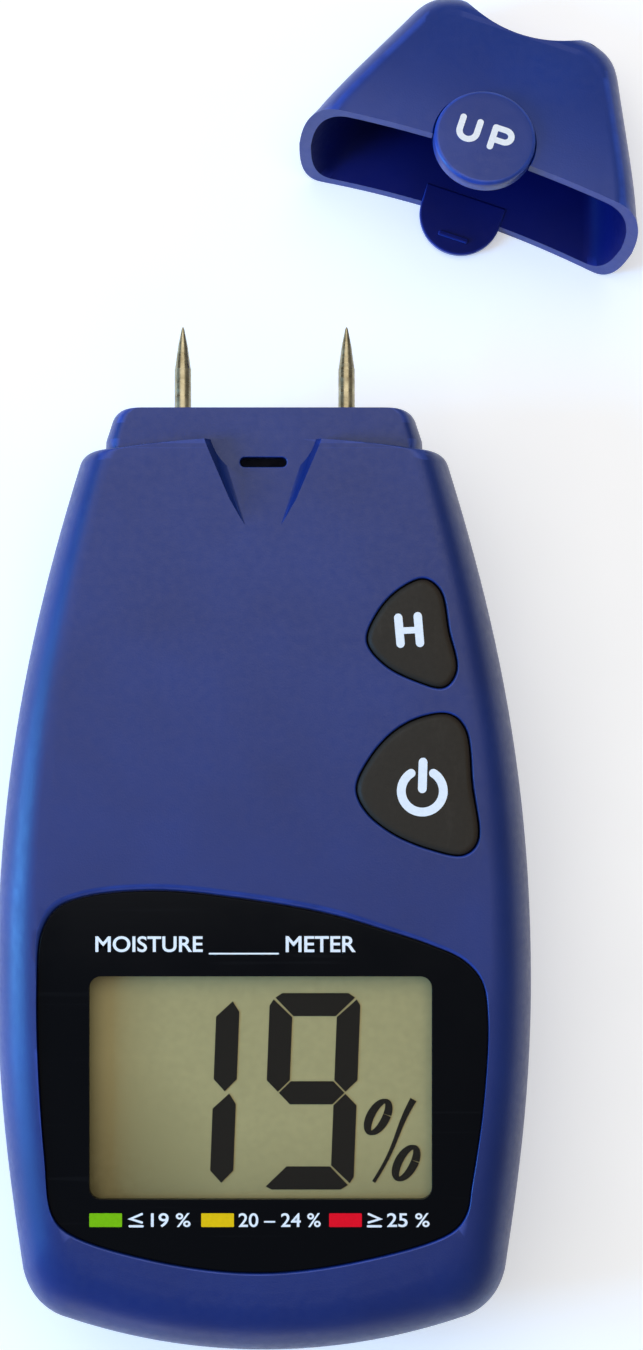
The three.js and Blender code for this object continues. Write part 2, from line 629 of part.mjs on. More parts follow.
add('main_board', mainBoard(), BOARD_GREEN);
add('measuring_chip', chip(), CHIP_BLACK);
add('crystal', box(-20, -9, 6, 9.6, BOARD_TOP + GAP, BOARD_TOP + 3.6), ZINC);
add('capacitor', upright(2.5, -9, 30.5, BOARD_TOP + GAP, 27.1), CHIP_BLACK);

add('keypad_mat', keypadMat(), KEY_BROWN);
add('hold_key', key(holdLoop), KEY_BROWN);
add('hold_key_contact', upright(2.2, 18.6, HOLD_CENTRE[1], 23, 23.9, 16), CARBON);
add('power_key', key(powerLoop), KEY_BROWN);
add('power_key_contact', upright(2.2, 18.6, POWER_CENTRE[1], 23, 23.9, 16), CARBON);

for (const [side, x] of [['left', -PIN_SPACING / 2], ['right', PIN_SPACING / 2]]) {
  add(`${side}_pin`, pinPost(x), STEEL);
  add(`${side}_pin_socket`, pinSocket(x), BRASS);
  add(`${side}_pin_lug`, pinLug(x), ZINC);
  add(`${side}_pin_lead`, pinLead(x), WIRE_BLACK);
}

add('battery', batteryCell(), BATTERY_JACKET);
add('battery_snap', batterySnap(), WIRE_BLACK);
for (const [name, x, material] of [['red', -4, WIRE_RED], ['black', 4, WIRE_BLACK]]) {
  const start = BATTERY.y0 + BATTERY.length + GAP + 3.9 + GAP;
  const route = [[x, start, 11], [x, start + 2.6, 11.2], [x, 1, 14.5], [x, 5.5, 17], [x, 7.4, BOARD_Z - 0.4]];
  add(`battery_lead_${name}`, wire(route, 0.65, 14), material);
}

screwPoints().forEach((screw, i) => add(`case_screw_${i + 1}`, caseScrew(screw), ZINC));
BOARD_SCREWS.forEach((screw, i) => add(`board_screw_${i + 1}`, boardScrew(screw), ZINC));

// The cap lies on its back, its rear rim on the same surface as the meter, with its mouth
// turned towards the pins. Its thumb pad is the point that the position is given for.
const mouthDepth = THICK - BACK_AT_LEDGE;
const capRestZ = mouthDepth * Math.cos(CAP_BACK_SLOPE) - THUMB_INSET * Math.sin(CAP_BACK_SLOPE);
const capTurned = new THREE.Group();
capTurned.position.set(CAP_REST_X, CAP_REST_Y, capRestZ);
capTurned.rotation.z = CAP_REST_YAW;
const capTilted = new THREE.Group();
capTilted.rotation.x = -CAP_BACK_SLOPE;
capTurned.add(capTilted);
meter.add(capTurned);
for (const [name, shape] of [['cap_shell', capShell()], ['cap_thumb_pad', thumbPad()]]) {
  const mesh = add(name, shape, BLUE, capTilted);
  mesh.position.set(0, -thumbY, -THICK);
}

export default meter;
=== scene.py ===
"""Looks of a pin-type moisture meter and its pull-off cap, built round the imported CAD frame."""
import math

import bmesh
import bpy
import numpy as np
from mathutils import Euler, Matrix, Vector


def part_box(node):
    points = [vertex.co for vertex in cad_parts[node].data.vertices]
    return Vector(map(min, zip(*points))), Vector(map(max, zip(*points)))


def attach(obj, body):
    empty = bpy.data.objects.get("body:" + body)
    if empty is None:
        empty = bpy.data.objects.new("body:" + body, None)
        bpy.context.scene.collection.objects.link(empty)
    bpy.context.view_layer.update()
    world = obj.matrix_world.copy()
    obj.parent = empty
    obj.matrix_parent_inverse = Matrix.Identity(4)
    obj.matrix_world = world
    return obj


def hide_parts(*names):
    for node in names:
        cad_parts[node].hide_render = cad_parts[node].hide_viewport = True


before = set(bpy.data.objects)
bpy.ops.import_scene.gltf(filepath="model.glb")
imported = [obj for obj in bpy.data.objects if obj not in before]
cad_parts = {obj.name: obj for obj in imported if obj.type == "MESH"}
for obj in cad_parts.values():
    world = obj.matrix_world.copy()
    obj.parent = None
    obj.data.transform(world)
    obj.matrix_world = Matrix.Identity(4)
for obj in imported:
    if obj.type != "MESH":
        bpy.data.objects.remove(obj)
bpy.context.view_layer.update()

# ---- driving dimensions, in millimetres ----
MM = 0.001
GAP = 0.3
WIDTH, THICK, PARTING_Z = 72.0, 30.0, 18.0
BOTTOM_Y, LEDGE_Y, LEDGE_RADIUS = -68.1, 53.9, 161.0
SLOPE_START_Y, BACK_AT_LEDGE = 10.0, 8.03
WALL, SIDE_WALL = 2.4, 2.0
FRONT_ROLL, REAR_ROLL, REAR_DRAFT = 7.4, 5.3, 1.2
NECK_LENGTH, NECK_FRONT, NECK_BACK, NECK_WALL = 4.1, 27.3, 10.5, 1.8
CAP_LENGTH, CAP_WALL, CAP_FRONT_DROP, CAP_RIM_HALF = 24.0, 1.5, 2.2, 23.5
CAP_SLOPE = math.radians(15.5)
THUMB_RADIUS, THUMB_INSET, THUMB_TOP = 6.9, 1.44, 30.9
THUMB_Y = LEDGE_Y + GAP + THUMB_INSET
CAP_REST = (29.7, 94.8)
CAP_YAW = math.radians(-18.4)
PIN_X, PIN_RADIUS, PIN_Z, PIN_TIP_Y, PIN_CONE = 11.1, 1.12, 18.4, 69.8, 5.6
LENS_TOP, LENS_THICK, POCKET_Z = 29.6, 0.9, 28.4
LCD_WINDOW = (-22.8, 22.2, -46.3, -17.0)
CUT_LOW, CUT_HIGH = 20, 40
SLOT, GLASS_POCKET = (-3.1, 3.1, 50.1, 51.4), (-24.8, 24.2, -48.3, -16.3)
KEY_TOP, KEY_FOOT, KEY_EDGE, KEY_CROWN = 30.6, 24.2, 0.75, 0.12
KEY_FLANGE_OUT, KEY_FLANGE_LOW, KEY_FLANGE_HIGH, KEY_CLEARANCE = 0.8, 24.9, 26.7, 0.2
DOOR_HALF, DOOR_Y0, DOOR_Y1, DOOR_THICK, KNUCKLE = 14.7, -58.4, -7.8, 2.0, 1.5
DOOR_PIN_BORE, GRIP_RIBS, GRIP_PITCH = 0.8, 3, 2.2
TONGUE_RADIUS, TONGUE_CENTRE_Y, SCALLOP_RADIUS, SCALLOP_DEPTH = 5.85, 0.3, 15.0, 3.4
# x, y and the height of the head's seat
SCREWS = [(-20.5, -57.3, 8.6), (20.5, -57.3, 8.6), (-17.5, 44.0, 10.0), (17.5, 44.0, 10.0)]
# x0, x1, y0, y1 and the top of each wall round the battery
BAY_WALLS = [
    (-16.5, -15.2, -61.5, -4.8, 17.5), (15.2, 16.5, -61.5, -4.8, 17.5), (-16.5, 16.5, -61.7, -60.5, 17.5),
    (-16.5, -8, -5.9, -4.7, 12), (8, 16.5, -5.9, -4.7, 12),
]

LENS_KNOTS = [
    (-29.6, -18.6), (-29.1, -11.5), (-27.2, -8.3), (-23.6, -6.7), (-14.3, -5.8), (-2.7, -6.9),
    (8.7, -8.9), (16.0, -11.0), (21.9, -12.9), (26.3, -14.9), (28.7, -17.6), (29.5, -22.5),
    (28.9, -34.1), (27.4, -44.4), (26.7, -48.2), (24.7, -50.6), (12.8, -54.3), (-0.4, -55.9),
    (-13.7, -54.4), (-25.5, -50.7), (-27.7, -48.2), (-28.6, -40.9), (-29.4, -29.3),
]
HOLD_KNOTS = [
    (13.8, 27.1), (15.4, 31.1), (18.2, 33.9), (21.2, 35.1), (23.2, 33.6), (24.3, 28.4), (25.3, 23.2),
    (23.8, 21.1), (20.2, 21.9), (16.0, 24.1),
]
POWER_KNOTS = [
    (12.4, 7.7), (14.2, 11.7), (17.3, 15.1), (21.0, 17.0), (24.6, 17.3), (26.5, 15.4), (27.4, 8.1),
    (28.1, 0.8), (26.4, -0.9), (22.1, -0.2), (17.1, 1.9), (13.6, 4.8),
]


# ---- mesh helpers ----
def placed(name, data):
    """A new object in the scene, holding a mesh, curve, light or camera."""
    obj = bpy.data.objects.new(name, data)
    bpy.context.scene.collection.objects.link(obj)
    return obj


def piece(name, points, faces):
    """A mesh object from points in millimetres, its faces turned outwards."""
    mesh = bpy.data.meshes.new(name)
    mesh.from_pydata([tuple(c * MM for c in p) for p in points], [], faces)
    obj = placed(name, mesh)
    tidy(obj)
    return obj


def tidy(obj, merge=1e-7):
    """Joins doubled points, drops empty faces and turns the rest outwards."""
    bm = bmesh.new()
    bm.from_mesh(obj.data)
    bmesh.ops.remove_doubles(bm, verts=bm.verts, dist=merge)
    bmesh.ops.dissolve_degenerate(bm, edges=bm.edges, dist=merge)
    bmesh.ops.recalc_face_normals(bm, faces=bm.faces)
    bm.to_mesh(obj.data)
    bm.free()


def bake(obj):
    """Replaces an object's mesh with what its modifiers make of it."""
    graph = bpy.context.evaluated_depsgraph_get()
    mesh = bpy.data.meshes.new_from_object(obj.evaluated_get(graph))
    obj.modifiers.clear()
    old = obj.data
    obj.data = mesh
    bpy.data.meshes.remove(old)


def boolean(obj, tool, operation):
    mod = obj.modifiers.new("boolean", "BOOLEAN")
    mod.operation = operation
    mod.solver = "MANIFOLD"
    mod.object = tool
    bake(obj)
    mesh = tool.data
    bpy.data.objects.remove(tool)
    bpy.data.meshes.remove(mesh)
    return obj


def cut(obj, *tools):
    for tool in tools:
        boolean(obj, tool, "DIFFERENCE")
    return obj


def join(obj, *others):
    for other in others:
        boolean(obj, other, "UNION")
    return obj


def smooth(obj, angle=32, flat_area=3e-6):
    """Smooth shading with the sharp edges kept, and every flat area kept truly flat."""
    mesh = obj.data
    mesh.shade_smooth()
    mesh.set_sharp_from_angle(angle=math.radians(angle))
    areas = {}
    for face in mesh.polygons:
        areas[plane_of(face)] = areas.get(plane_of(face), 0.0) + face.area
    flats = {}
    for face in mesh.polygons:
        if areas[plane_of(face)] > flat_area:
            for v in face.vertices:
                flats.setdefault(v, []).append(face.normal.copy())
    normals = [n.vector.copy() for n in mesh.corner_normals]
    limit = math.cos(math.radians(angle))
    for face in mesh.polygons:
        for corner in face.loop_indices:
            near = flats.get(mesh.loops[corner].vertex_index, ())
            best = max(near, key=face.normal.dot, default=None)
            if best is not None and best.dot(face.normal) > limit:
                normals[corner] = best
    mesh.normals_split_custom_set(normals)
    return obj


def mark_wear(obj, small=8e-7):
    """Stores how worn each corner is: outer edges rub, broad faces and hollows do not."""
    mesh = obj.data
    bm = bmesh.new()
    bm.from_mesh(mesh)
    worn = [any(e.is_convex and e.calc_face_angle(0.0) > 0.17 for e in v.link_edges) for v in bm.verts]
    bm.free()
    wear = mesh.attributes.new("wear", "FLOAT", "CORNER")
    for face in mesh.polygons:
        for corner in face.loop_indices:
            rubbed = face.area < small and worn[mesh.loops[corner].vertex_index]
            wear.data[corner].value = 1.0 if rubbed else 0.0


def plane_of(face):
    n = face.normal
    return round(n.x, 3), round(n.y, 3), round(n.z, 3), round(n.dot(face.center) * 2e4)


def copy_of(obj, name):
    twin = obj.copy()
    twin.data = obj.data.copy()
    twin.name = name
    bpy.context.scene.collection.objects.link(twin)
    return twin


# ---- outlines ----
def bezier(p0, p1, p2, p3, count):
    t = np.linspace(0, 1, count + 1)[:, None]
    p0, p1, p2, p3 = (np.array(p, float) for p in (p0, p1, p2, p3))
    return (1 - t) ** 3 * p0 + 3 * t * (1 - t) ** 2 * p1 + 3 * t * t * (1 - t) * p2 + t ** 3 * p3


def arc(centre, radius, start, end, count):
    angles = np.radians(np.linspace(start, end, count + 1))
    return np.column_stack([centre[0] + radius * np.cos(angles), centre[1] + radius * np.sin(angles)])


def chain(*runs):
    points = [tuple(p) for run in runs for p in run]
    kept = [points[0]]
    for p in points[1:]:
        if math.dist(p, kept[-1]) > 1e-3:
            kept.append(p)
    if math.dist(kept[0], kept[-1]) < 1e-3:
        kept.pop()
    return kept


def rounded_rectangle(x0, x1, y0, y1, radius, count=8):
    corners = [(x1, y1, 0), (x0, y1, 90), (x0, y0, 180), (x1, y0, 270)]
    runs = []
    for x, y, start in corners:
        cx = x - radius if x == x1 else x + radius
        cy = y - radius if y == y1 else y + radius
        runs.append(arc((cx, cy), radius, start, start + 90, count))
    return chain(*runs)


def smooth_loop(knots, per_span=8):
    """A closed centripetal Catmull-Rom curve through the knots."""
    pts = [np.array(k, float) for k in knots]
    out = []
    for i in range(len(pts)):
        p = [pts[(i + j - 1) % len(pts)] for j in range(4)]
        t = [0.0]
        for a, b in zip(p, p[1:]):
            t.append(t[-1] + math.sqrt(np.linalg.norm(b - a)))
        for k in range(per_span):
            u = t[1] + (t[2] - t[1]) * k / per_span
            a1 = (t[1] - u) / (t[1] - t[0]) * p[0] + (u - t[0]) / (t[1] - t[0]) * p[1]
            a2 = (t[2] - u) / (t[2] - t[1]) * p[1] + (u - t[1]) / (t[2] - t[1]) * p[2]
            a3 = (t[3] - u) / (t[3] - t[2]) * p[2] + (u - t[2]) / (t[3] - t[2]) * p[3]
            b1 = (t[2] - u) / (t[2] - t[0]) * a1 + (u - t[0]) / (t[2] - t[0]) * a2
            b2 = (t[3] - u) / (t[3] - t[1]) * a2 + (u - t[1]) / (t[3] - t[1]) * a3
            out.append(tuple((t[2] - u) / (t[2] - t[1]) * b1 + (u - t[1]) / (t[2] - t[1]) * b2))
    return out


def turn_of(loop):
    pts = np.array(loop)
    nxt = np.roll(pts, -1, axis=0)
    return 1.0 if np.sum(pts[:, 0] * nxt[:, 1] - nxt[:, 0] * pts[:, 1]) > 0 else -1.0


def grown(loop, distance):
    """The loop moved outwards, by one distance or by one for each point."""
    pts = np.array(loop)
    along = np.roll(pts, -1, axis=0) - np.roll(pts, 1, axis=0)
    along /= np.linalg.norm(along, axis=1)[:, None]
    normal = np.column_stack([along[:, 1], -along[:, 0]]) * turn_of(loop)
    return pts + normal * np.reshape(distance, (-1, 1))


def band(first, second, count):
    """Faces between two rings, each given by the number of its first point."""
    faces = []
    for i in range(count):
        j = (i + 1) % count
        faces.append((first + i, first + j, second + j, second + i))
    return faces


def stack(name, rings):
    """A closed solid from rings of equal length, each a list of points in millimetres."""
    count = len(rings[0])
    points = [tuple(p) for ring in rings for p in ring]
    faces = [tuple(range(count))[::-1]]
    for k in range(len(rings) - 1):
        faces += band(k * count, (k + 1) * count, count)
    faces.append(tuple(range((len(rings) - 1) * count, len(rings) * count)))
    return piece(name, points, faces)


def lifted(loop, z):
    return [(p[0], p[1], z) for p in loop]


def prism(loop, z0, z1, name="tool"):
    return stack(name, [lifted(loop, z0), lifted(loop, z1)])


def edge_profile(radius, steps=5):
    """Inset and drop of a rounded edge, from its side to its top."""
    angles = [math.pi / 2 * k / steps for k in range(steps + 1)]
    return [(radius * (1 - math.cos(a)), radius * (1 - math.sin(a))) for a in angles]


def pill(name, loop, z0, z1, top=0.3, bottom=0.1):
    """A plate with rounded upper and lower edges."""
    rings = [lifted(grown(loop, -inset), z0 + drop) for inset, drop in reversed(edge_profile(bottom, 3))]
    rings += [lifted(grown(loop, -inset), z1 - drop) for inset, drop in edge_profile(top)]
    return stack(name, rings)


def flared(loop, z0, surface, radius, z1=40.0):
    """A cutting tool whose mouth opens in a rounded edge where it meets the surface."""
    radius = np.reshape(radius, (-1, 1)) * np.ones((len(loop), 1))
    rings = [lifted(loop, z0)]
    for k in range(7):
        angle = math.pi / 2 * k / 6
        out = grown(loop, radius * (1 - math.cos(angle)))
        rings.append([(p[0], p[1], surface - r * (1 - math.sin(angle))) for p, r in zip(out, radius[:, 0])])
    rings.append(lifted(grown(loop, radius), z1))
    return stack("tool", rings)


def box_tool(x0, x1, y0, y1, z0, z1):
    return prism([(x0, y0), (x1, y0), (x1, y1), (x0, y1)], z0, z1)


def circle(centre, turn, radius, sides, along=0):
    """A ring of points round an axis, some way along it from the centre."""
    ring = []
    for i in range(sides):
        angle = 2 * math.pi * i / sides
        offset = Vector((radius * math.cos(angle), radius * math.sin(angle), along))
        ring.append(tuple(centre + turn @ offset))
    return ring


def rod(name, start, end, radius, sides=48, end_radius=None):
    """A round bar, or a cone, between two points in millimetres."""
    start, end = Vector(start), Vector(end)
    turn = (end - start).to_track_quat("Z", "Y")
    last = radius if end_radius is None else end_radius
    return stack(name, [circle(start, turn, radius, sides), circle(end, turn, last, sides)])


def lathe(name, profile, start, axis, sides=64):
    """A turned solid: (radius, distance) pairs along an axis from a start point."""
    turn = Vector(axis).to_track_quat("Z", "Y")
    return stack(name, [circle(Vector(start), turn, r, sides, along) for r, along in profile])


# ---- rounded casing blocks ----
FRONT_POWER, REAR_POWER = 2.6, 3.0


def roll(front, rear, draft):
    """How far a side comes in at level t, from -1 at the back over 0 to 1 at the front."""
    def inset(t):
        if t >= 0:
            return front * (1 - max(0.0, 1 - t ** FRONT_POWER) ** (1 / FRONT_POWER))
        return -draft * t + rear * (1 - max(0.0, 1 - (-t) ** REAR_POWER) ** (1 / REAR_POWER))

    return inset


def levels(count):
    """Levels from back to front, closer together where the side rolls in."""
    angles = [math.pi / 2 * k / count for k in range(count + 1)]
    rear = [-(math.sin(a) ** (2 / REAR_POWER)) for a in reversed(angles[1:])]
    return rear + [math.sin(a) ** (2 / FRONT_POWER) for a in angles]


def casing(name, half, front_z, back_z, side_roll, end_roll, span, steps=16):
    """A symmetric block with rolled edges, from the right half of its outline."""
    loop = [tuple(p) for p in half] + [(-x, y) for x, y in reversed(list(half)) if abs(x) > 1e-6]

    def place(x, y, t):
        px = x * (1 - side_roll(t) / (WIDTH / 2))
        py = LEDGE_Y + (y - LEDGE_Y) * (1 - end_roll(t) / span)
        if t >= 0:
            return px, py, PARTING_Z + t * (front_z(y) - PARTING_Z)
        return px, py, PARTING_Z + t * (PARTING_Z - back_z(y))

    rows = levels(steps)
    count = len(loop)
    points = [place(x, y, t) for t in rows for x, y in loop]
    faces = []
    for k in range(len(rows) - 1):
        faces += band(k * count, (k + 1) * count, count)
    top = (len(rows) - 1) * count
    # Both ends are flat strips from each point to its twin on the other side.
    left = {i: (count - i if abs(half[0][0]) < 1e-6 else count - 1 - i) % count for i in range(len(half))}
    for i in range(len(half) - 1):
        a, b, c, d = i, i + 1, left[i + 1], left[i]
        ring = [a, b, c] if c == b else ([a, b, c] if d == a else [a, b, c, d])
        faces.append(tuple(top + v for v in ring))
        faces.append(tuple(reversed(ring)))
    return piece(name, points, faces)


def body_back(y):
    rise = max(0.0, (y - SLOPE_START_Y) / (LEDGE_Y - SLOPE_START_Y))
    return BACK_AT_LEDGE * rise ** 1.35


def ledge_at(x):
    return LEDGE_Y - LEDGE_RADIUS + math.sqrt(LEDGE_RADIUS ** 2 - x * x)


def body_half(count=22):
    radius, half = 83.8, 26.5
    sweep = math.degrees(math.asin(half / radius))
    low, high = ledge_at(24.3), ledge_at(22.6)
    return chain(
        arc((0, BOTTOM_Y + radius), radius, -90, -90 + sweep, count),
        bezier((26.5, -63.8), (29.4, -63.0), (31.7, -60.8), (32.5, -57.3), count),
        bezier((32.5, -57.3), (34.4, -45), (36, -33), (36, -18.5), count),
        bezier((36, -18.5), (36, 8), (31.6, 29), (24.8, 50.7), count),
        bezier((24.8, 50.7), (24.5, 51.6), (23.7, low + 0.2), (22.6, high), 8),
        [(x, ledge_at(x)) for x in np.linspace(22.6, 0, 19)],
    )


def shrunk(half, side, bottom, top):
    low, high = half[0][1], half[-1][1]
    stretch = (high - top - low - bottom) / (high - low)
    return [(x * (1 - side / (WIDTH / 2)), low + bottom + (y - low) * stretch) for x, y in half]


def neck_half(inset, count=8):
    top = LEDGE_Y + NECK_LENGTH - inset
    corner = [(20.6, top - 2.0), (20.3, top - 0.8), (19.6, top), (18.2, top)]
    corner = [(x - inset, y) for x, y in corner]
    side = [(21.5 - inset, 50.0), (21.3 - inset, LEDGE_Y), corner[0]]
    return chain(side, bezier(*corner, count))


def cap_half(inset, rim_y, count=14):
    top = LEDGE_Y + GAP + CAP_LENGTH - inset
    lean = 0.44
    runs = [[(CAP_RIM_HALF + lean * (LEDGE_Y + GAP - rim_y) - inset, rim_y)]]
    for curve in (
        [(23.5, 54.2), (21.9, 59), (18.3, 66.5), (15.4, 73.6)],
        [(15.4, 73.6), (14.2, 76.4), (13.0, 77.4), (10.2, top)],
    ):
        runs.append(bezier(*[(x - inset, y) for x, y in curve], count))
    return chain(*runs)


def neck_back(y):
    return NECK_BACK + math.tan(CAP_SLOPE) * max(0.0, y - LEDGE_Y)


def cap_back(y):
    return BACK_AT_LEDGE + math.tan(CAP_SLOPE) * (y - LEDGE_Y - GAP)


def cap_front(y):
    along = max(0.0, (y - LEDGE_Y) / CAP_LENGTH)
    return THICK - CAP_FRONT_DROP * along * along


side_roll = roll(FRONT_ROLL, REAR_ROLL, REAR_DRAFT)
end_roll = roll(9.5, 7.0, 1.4)
neck_roll = roll(4.2, 3.6, 0.8)
cap_end_roll = roll(4.6, 3.4, 0.4)
no_roll = roll(0.0, 0.0, 0.0)


# ---- materials ----
class Nodes:
    """Short names for building one material's node tree."""

    def __init__(self, name):
        self.material = bpy.data.materials.new(name)
        self.material.use_nodes = True
        self.tree = self.material.node_tree
        self.shader = self.tree.nodes["Principled BSDF"]
        self.coords = self.tree.nodes.new("ShaderNodeTexCoord").outputs["Object"]

    def add(self, kind, **inputs):
        node = self.tree.nodes.new(kind)
        for key, value in inputs.items():
            self.feed(node.inputs[key.replace("_", " ")], value)
        return node

    def feed(self, socket, value):
        if isinstance(value, bpy.types.NodeSocket):
            self.tree.links.new(value, socket)
        else:
            socket.default_value = value

    def noise(self, scale, detail=4.0, rough=0.6, stretch=None):
        where = self.coords
        if stretch:
            where = self.add("ShaderNodeMapping", Vector=self.coords, Scale=stretch).outputs[0]
        node = self.add("ShaderNodeTexNoise", Vector=where, Scale=scale, Detail=detail, Roughness=rough)
        return node.outputs[0]

    def span(self, value, low, high, from_low=0.3, from_high=0.7):
        node = self.add("ShaderNodeMapRange", Value=value)
        for i, v in enumerate((from_low, from_high, low, high)):
            node.inputs[i + 1].default_value = v
        return node.outputs[0]

    def mix(self, factor, first, second):
        node = self.tree.nodes.new("ShaderNodeMix")
        node.data_type = "RGBA"
        self.feed(node.inputs[0], factor)
        self.feed(node.inputs[6], first)
        self.feed(node.inputs[7], second)
        return node.outputs[2]

    def maths(self, operation, first, second):
        node = self.tree.nodes.new("ShaderNodeMath")
        node.operation = operation
        self.feed(node.inputs[0], first)
        self.feed(node.inputs[1], second)
        return node.outputs[0]

    def bump(self, height, strength, distance):
        node = self.add("ShaderNodeBump", Height=height, Strength=strength, Distance=distance)
        self.tree.links.new(node.outputs[0], self.shader.inputs["Normal"])

    def set(self, **values):
        for key, value in values.items():
            self.feed(self.shader.inputs[key.replace("_", " ")], value)
        return self


def srgb(r, g, b):
    """A colour given by its usual 0 to 255 values."""
    def linear(c):
        c /= 255
        return c / 12.92 if c <= 0.04045 else ((c + 0.055) / 1.055) ** 2.4
    return linear(r), linear(g), linear(b), 1.0


def moulded_plastic(name, colour, dark, roughness, grain=0.25, dust=True, specular=0.5):
    """Spark-eroded moulded plastic: fine grain, faint clouding, paler worn edges and sparse dust."""
    n = Nodes(name)
    cloud = n.noise(60, 3, 0.5)
    base = n.mix(n.span(cloud, 0.0, 1.0), dark, colour)
    rubbed = n.tree.nodes.new("ShaderNodeAttribute")
    rubbed.attribute_name = "wear"
    worn = n.maths("MULTIPLY", n.span(n.noise(260, 4, 0.6), 0.15, 0.5), rubbed.outputs["Fac"])
    pale = tuple(min(1.0, c * 2.4 + 0.03) for c in colour[:3]) + (1.0,)
    base = n.mix(worn, base, pale)
    if dust:
        cell = n.add("ShaderNodeTexVoronoi", Vector=n.coords, Scale=260.0)
        speck = n.span(cell.outputs["Distance"], 1.0, 0.0, 0.035, 0.05)
        rare = n.span(n.noise(170, 1, 0.5), 0.0, 0.5, 0.64, 0.66)
        base = n.mix(n.maths("MULTIPLY", speck, rare), base, srgb(200, 205, 220))
    fine = n.noise(3800, 2, 0.6)
    rough = n.span(n.noise(900, 3, 0.6), roughness - 0.05, roughness + 0.06)
    n.set(Base_Color=base, Roughness=rough, Specular_IOR_Level=specular)
    n.bump(fine, grain, 0.00006)
    return n.material


def rubber(name, colour, roughness=0.62):
    """Matt silicone rubber with a very fine grain and a little lint."""
    n = Nodes(name)
    lint = n.noise(700, 6, 0.7, stretch=(1, 0.25, 1))
    paler = tuple(c * 1.7 + 0.01 for c in colour[:3]) + (1.0,)
    base = n.mix(n.span(lint, 0.0, 0.35, 0.55, 0.8), colour, paler)
    rough = n.span(n.noise(1500, 3, 0.6), roughness - 0.07, roughness + 0.07)
    n.set(Base_Color=base, Roughness=rough, Specular_IOR_Level=0.22)
    n.bump(n.noise(5200, 2, 0.6), 0.35, 0.00005)
    return n.material


def gloss(name, colour, roughness=0.08, specular=0.5):
    """Smooth moulded sheet with a faint haze and hairline scratches."""
    n = Nodes(name)
    haze = n.noise(90, 4, 0.6)
    scratch = n.noise(1100, 2, 0.4, stretch=(0.03, 1, 1))
    paler = tuple(c + 0.02 for c in colour[:3]) + (1.0,)
    base = n.mix(n.span(scratch, 0.0, 0.1, 0.66, 0.72), colour, paler)
    rough = n.span(haze, roughness * 0.7, roughness * 1.5)
    n.set(Base_Color=base, Roughness=rough, Specular_IOR_Level=specular)
    n.bump(haze, 0.04, 0.0002)
    return n.material


def turned_metal(name, colour, axis_scale, roughness=0.3, stain=(0.2, 0.14, 0.06, 1)):
    """Machined metal: fine turning rings along one axis and patches of tarnish."""
    n = Nodes(name)
    rings = n.noise(2600, 2, 0.5, stretch=axis_scale)
    patches = n.noise(420, 5, 0.65)
    base = n.mix(n.span(patches, 0.0, 0.75, 0.45, 0.75), colour, stain)
    n.set(Base_Color=base, Metallic=1.0, Roughness=n.span(rings, roughness - 0.1, roughness + 0.14))
    n.bump(rings, 0.3, 0.00004)
    return n.material


def printed(name, colour, roughness=0.45):
    """Screen-printed ink, very slightly uneven."""
    n = Nodes(name)
    uneven = n.noise(2200, 3, 0.6)
    dim = tuple(c * 0.92 for c in colour[:3]) + (1.0,)
    base = n.mix(n.span(uneven, 0, 1), dim, colour)
    n.set(Base_Color=base, Roughness=roughness, Specular_IOR_Level=0.15)
    n.bump(uneven, 0.1, 0.00002)
    return n.material


def display_glass(name):
    """Olive liquid crystal panel with painted shade: a little darker towards its lower left."""
    n = Nodes(name)
    place = n.add("ShaderNodeSeparateXYZ", Vector=n.coords)
    # painted shade: the colour darkens towards the window's left and lower edges
    across = n.span(place.outputs[0], 0.0, 0.7, LCD_WINDOW[0] * MM, -4 * MM)
    upwards = n.span(place.outputs[1], 0.0, 0.6, LCD_WINDOW[2] * MM, -28 * MM)
    base = n.mix(n.maths("ADD", across, upwards), srgb(122, 108, 64), srgb(190, 174, 118))
    mottled = n.mix(n.span(n.noise(900, 2, 0.5), 0, 0.25), base, srgb(160, 148, 98))
    n.set(Base_Color=mottled, Roughness=n.span(n.noise(70, 3, 0.5), 0.4, 0.5), Specular_IOR_Level=0.2)
    n.bump(n.noise(4200, 2, 0.6), 0.08, 0.00003)
    return n.material


def clear_pane(name):
    """Clear window with a faint haze."""
    n = Nodes(name)
    haze = n.noise(120, 3, 0.5)
    n.set(Base_Color=(0.1, 0.1, 0.08, 1), Alpha=0.04, Specular_IOR_Level=0.15)
    n.set(Roughness=n.span(haze, 0.03, 0.09))
    n.bump(haze, 0.03, 0.0002)
    return n.material


def circuit_board(name):
    """Green solder mask with a grid of paler tracks."""
    n = Nodes(name)
    tracks = n.add("ShaderNodeTexBrick", Vector=n.coords, Scale=260.0, Mortar_Size=0.03)
    n.feed(tracks.inputs["Color1"], srgb(20, 78, 44))
    n.feed(tracks.inputs["Color2"], srgb(16, 66, 38))
    n.feed(tracks.inputs["Mortar"], srgb(44, 116, 66))
    n.set(Base_Color=tracks.outputs["Color"], Roughness=n.span(n.noise(500, 3, 0.5), 0.25, 0.4))
    n.bump(tracks.outputs["Fac"], 0.3, 0.00004)
    return n.material


def battery_jacket(name, low_y, high_y):
    """Printed foil jacket: a dark body with a pale band round one end."""
    n = Nodes(name)
    place = n.add("ShaderNodeSeparateXYZ", Vector=n.coords)
    length = high_y - low_y
    band = n.span(place.outputs[1], 0.0, 1.0, low_y + length * 0.66, low_y + length * 0.67)
    base = n.mix(band, srgb(28, 34, 42), srgb(176, 138, 72))
    scuffed = n.mix(n.span(n.noise(800, 5, 0.7), 0.0, 0.3, 0.6, 0.75), base, srgb(150, 150, 150))
    n.set(Base_Color=scuffed, Metallic=0.35, Roughness=n.span(n.noise(300, 3, 0.6), 0.28, 0.45))
    n.bump(n.noise(1500, 3, 0.6), 0.08, 0.00005)
    return n.material


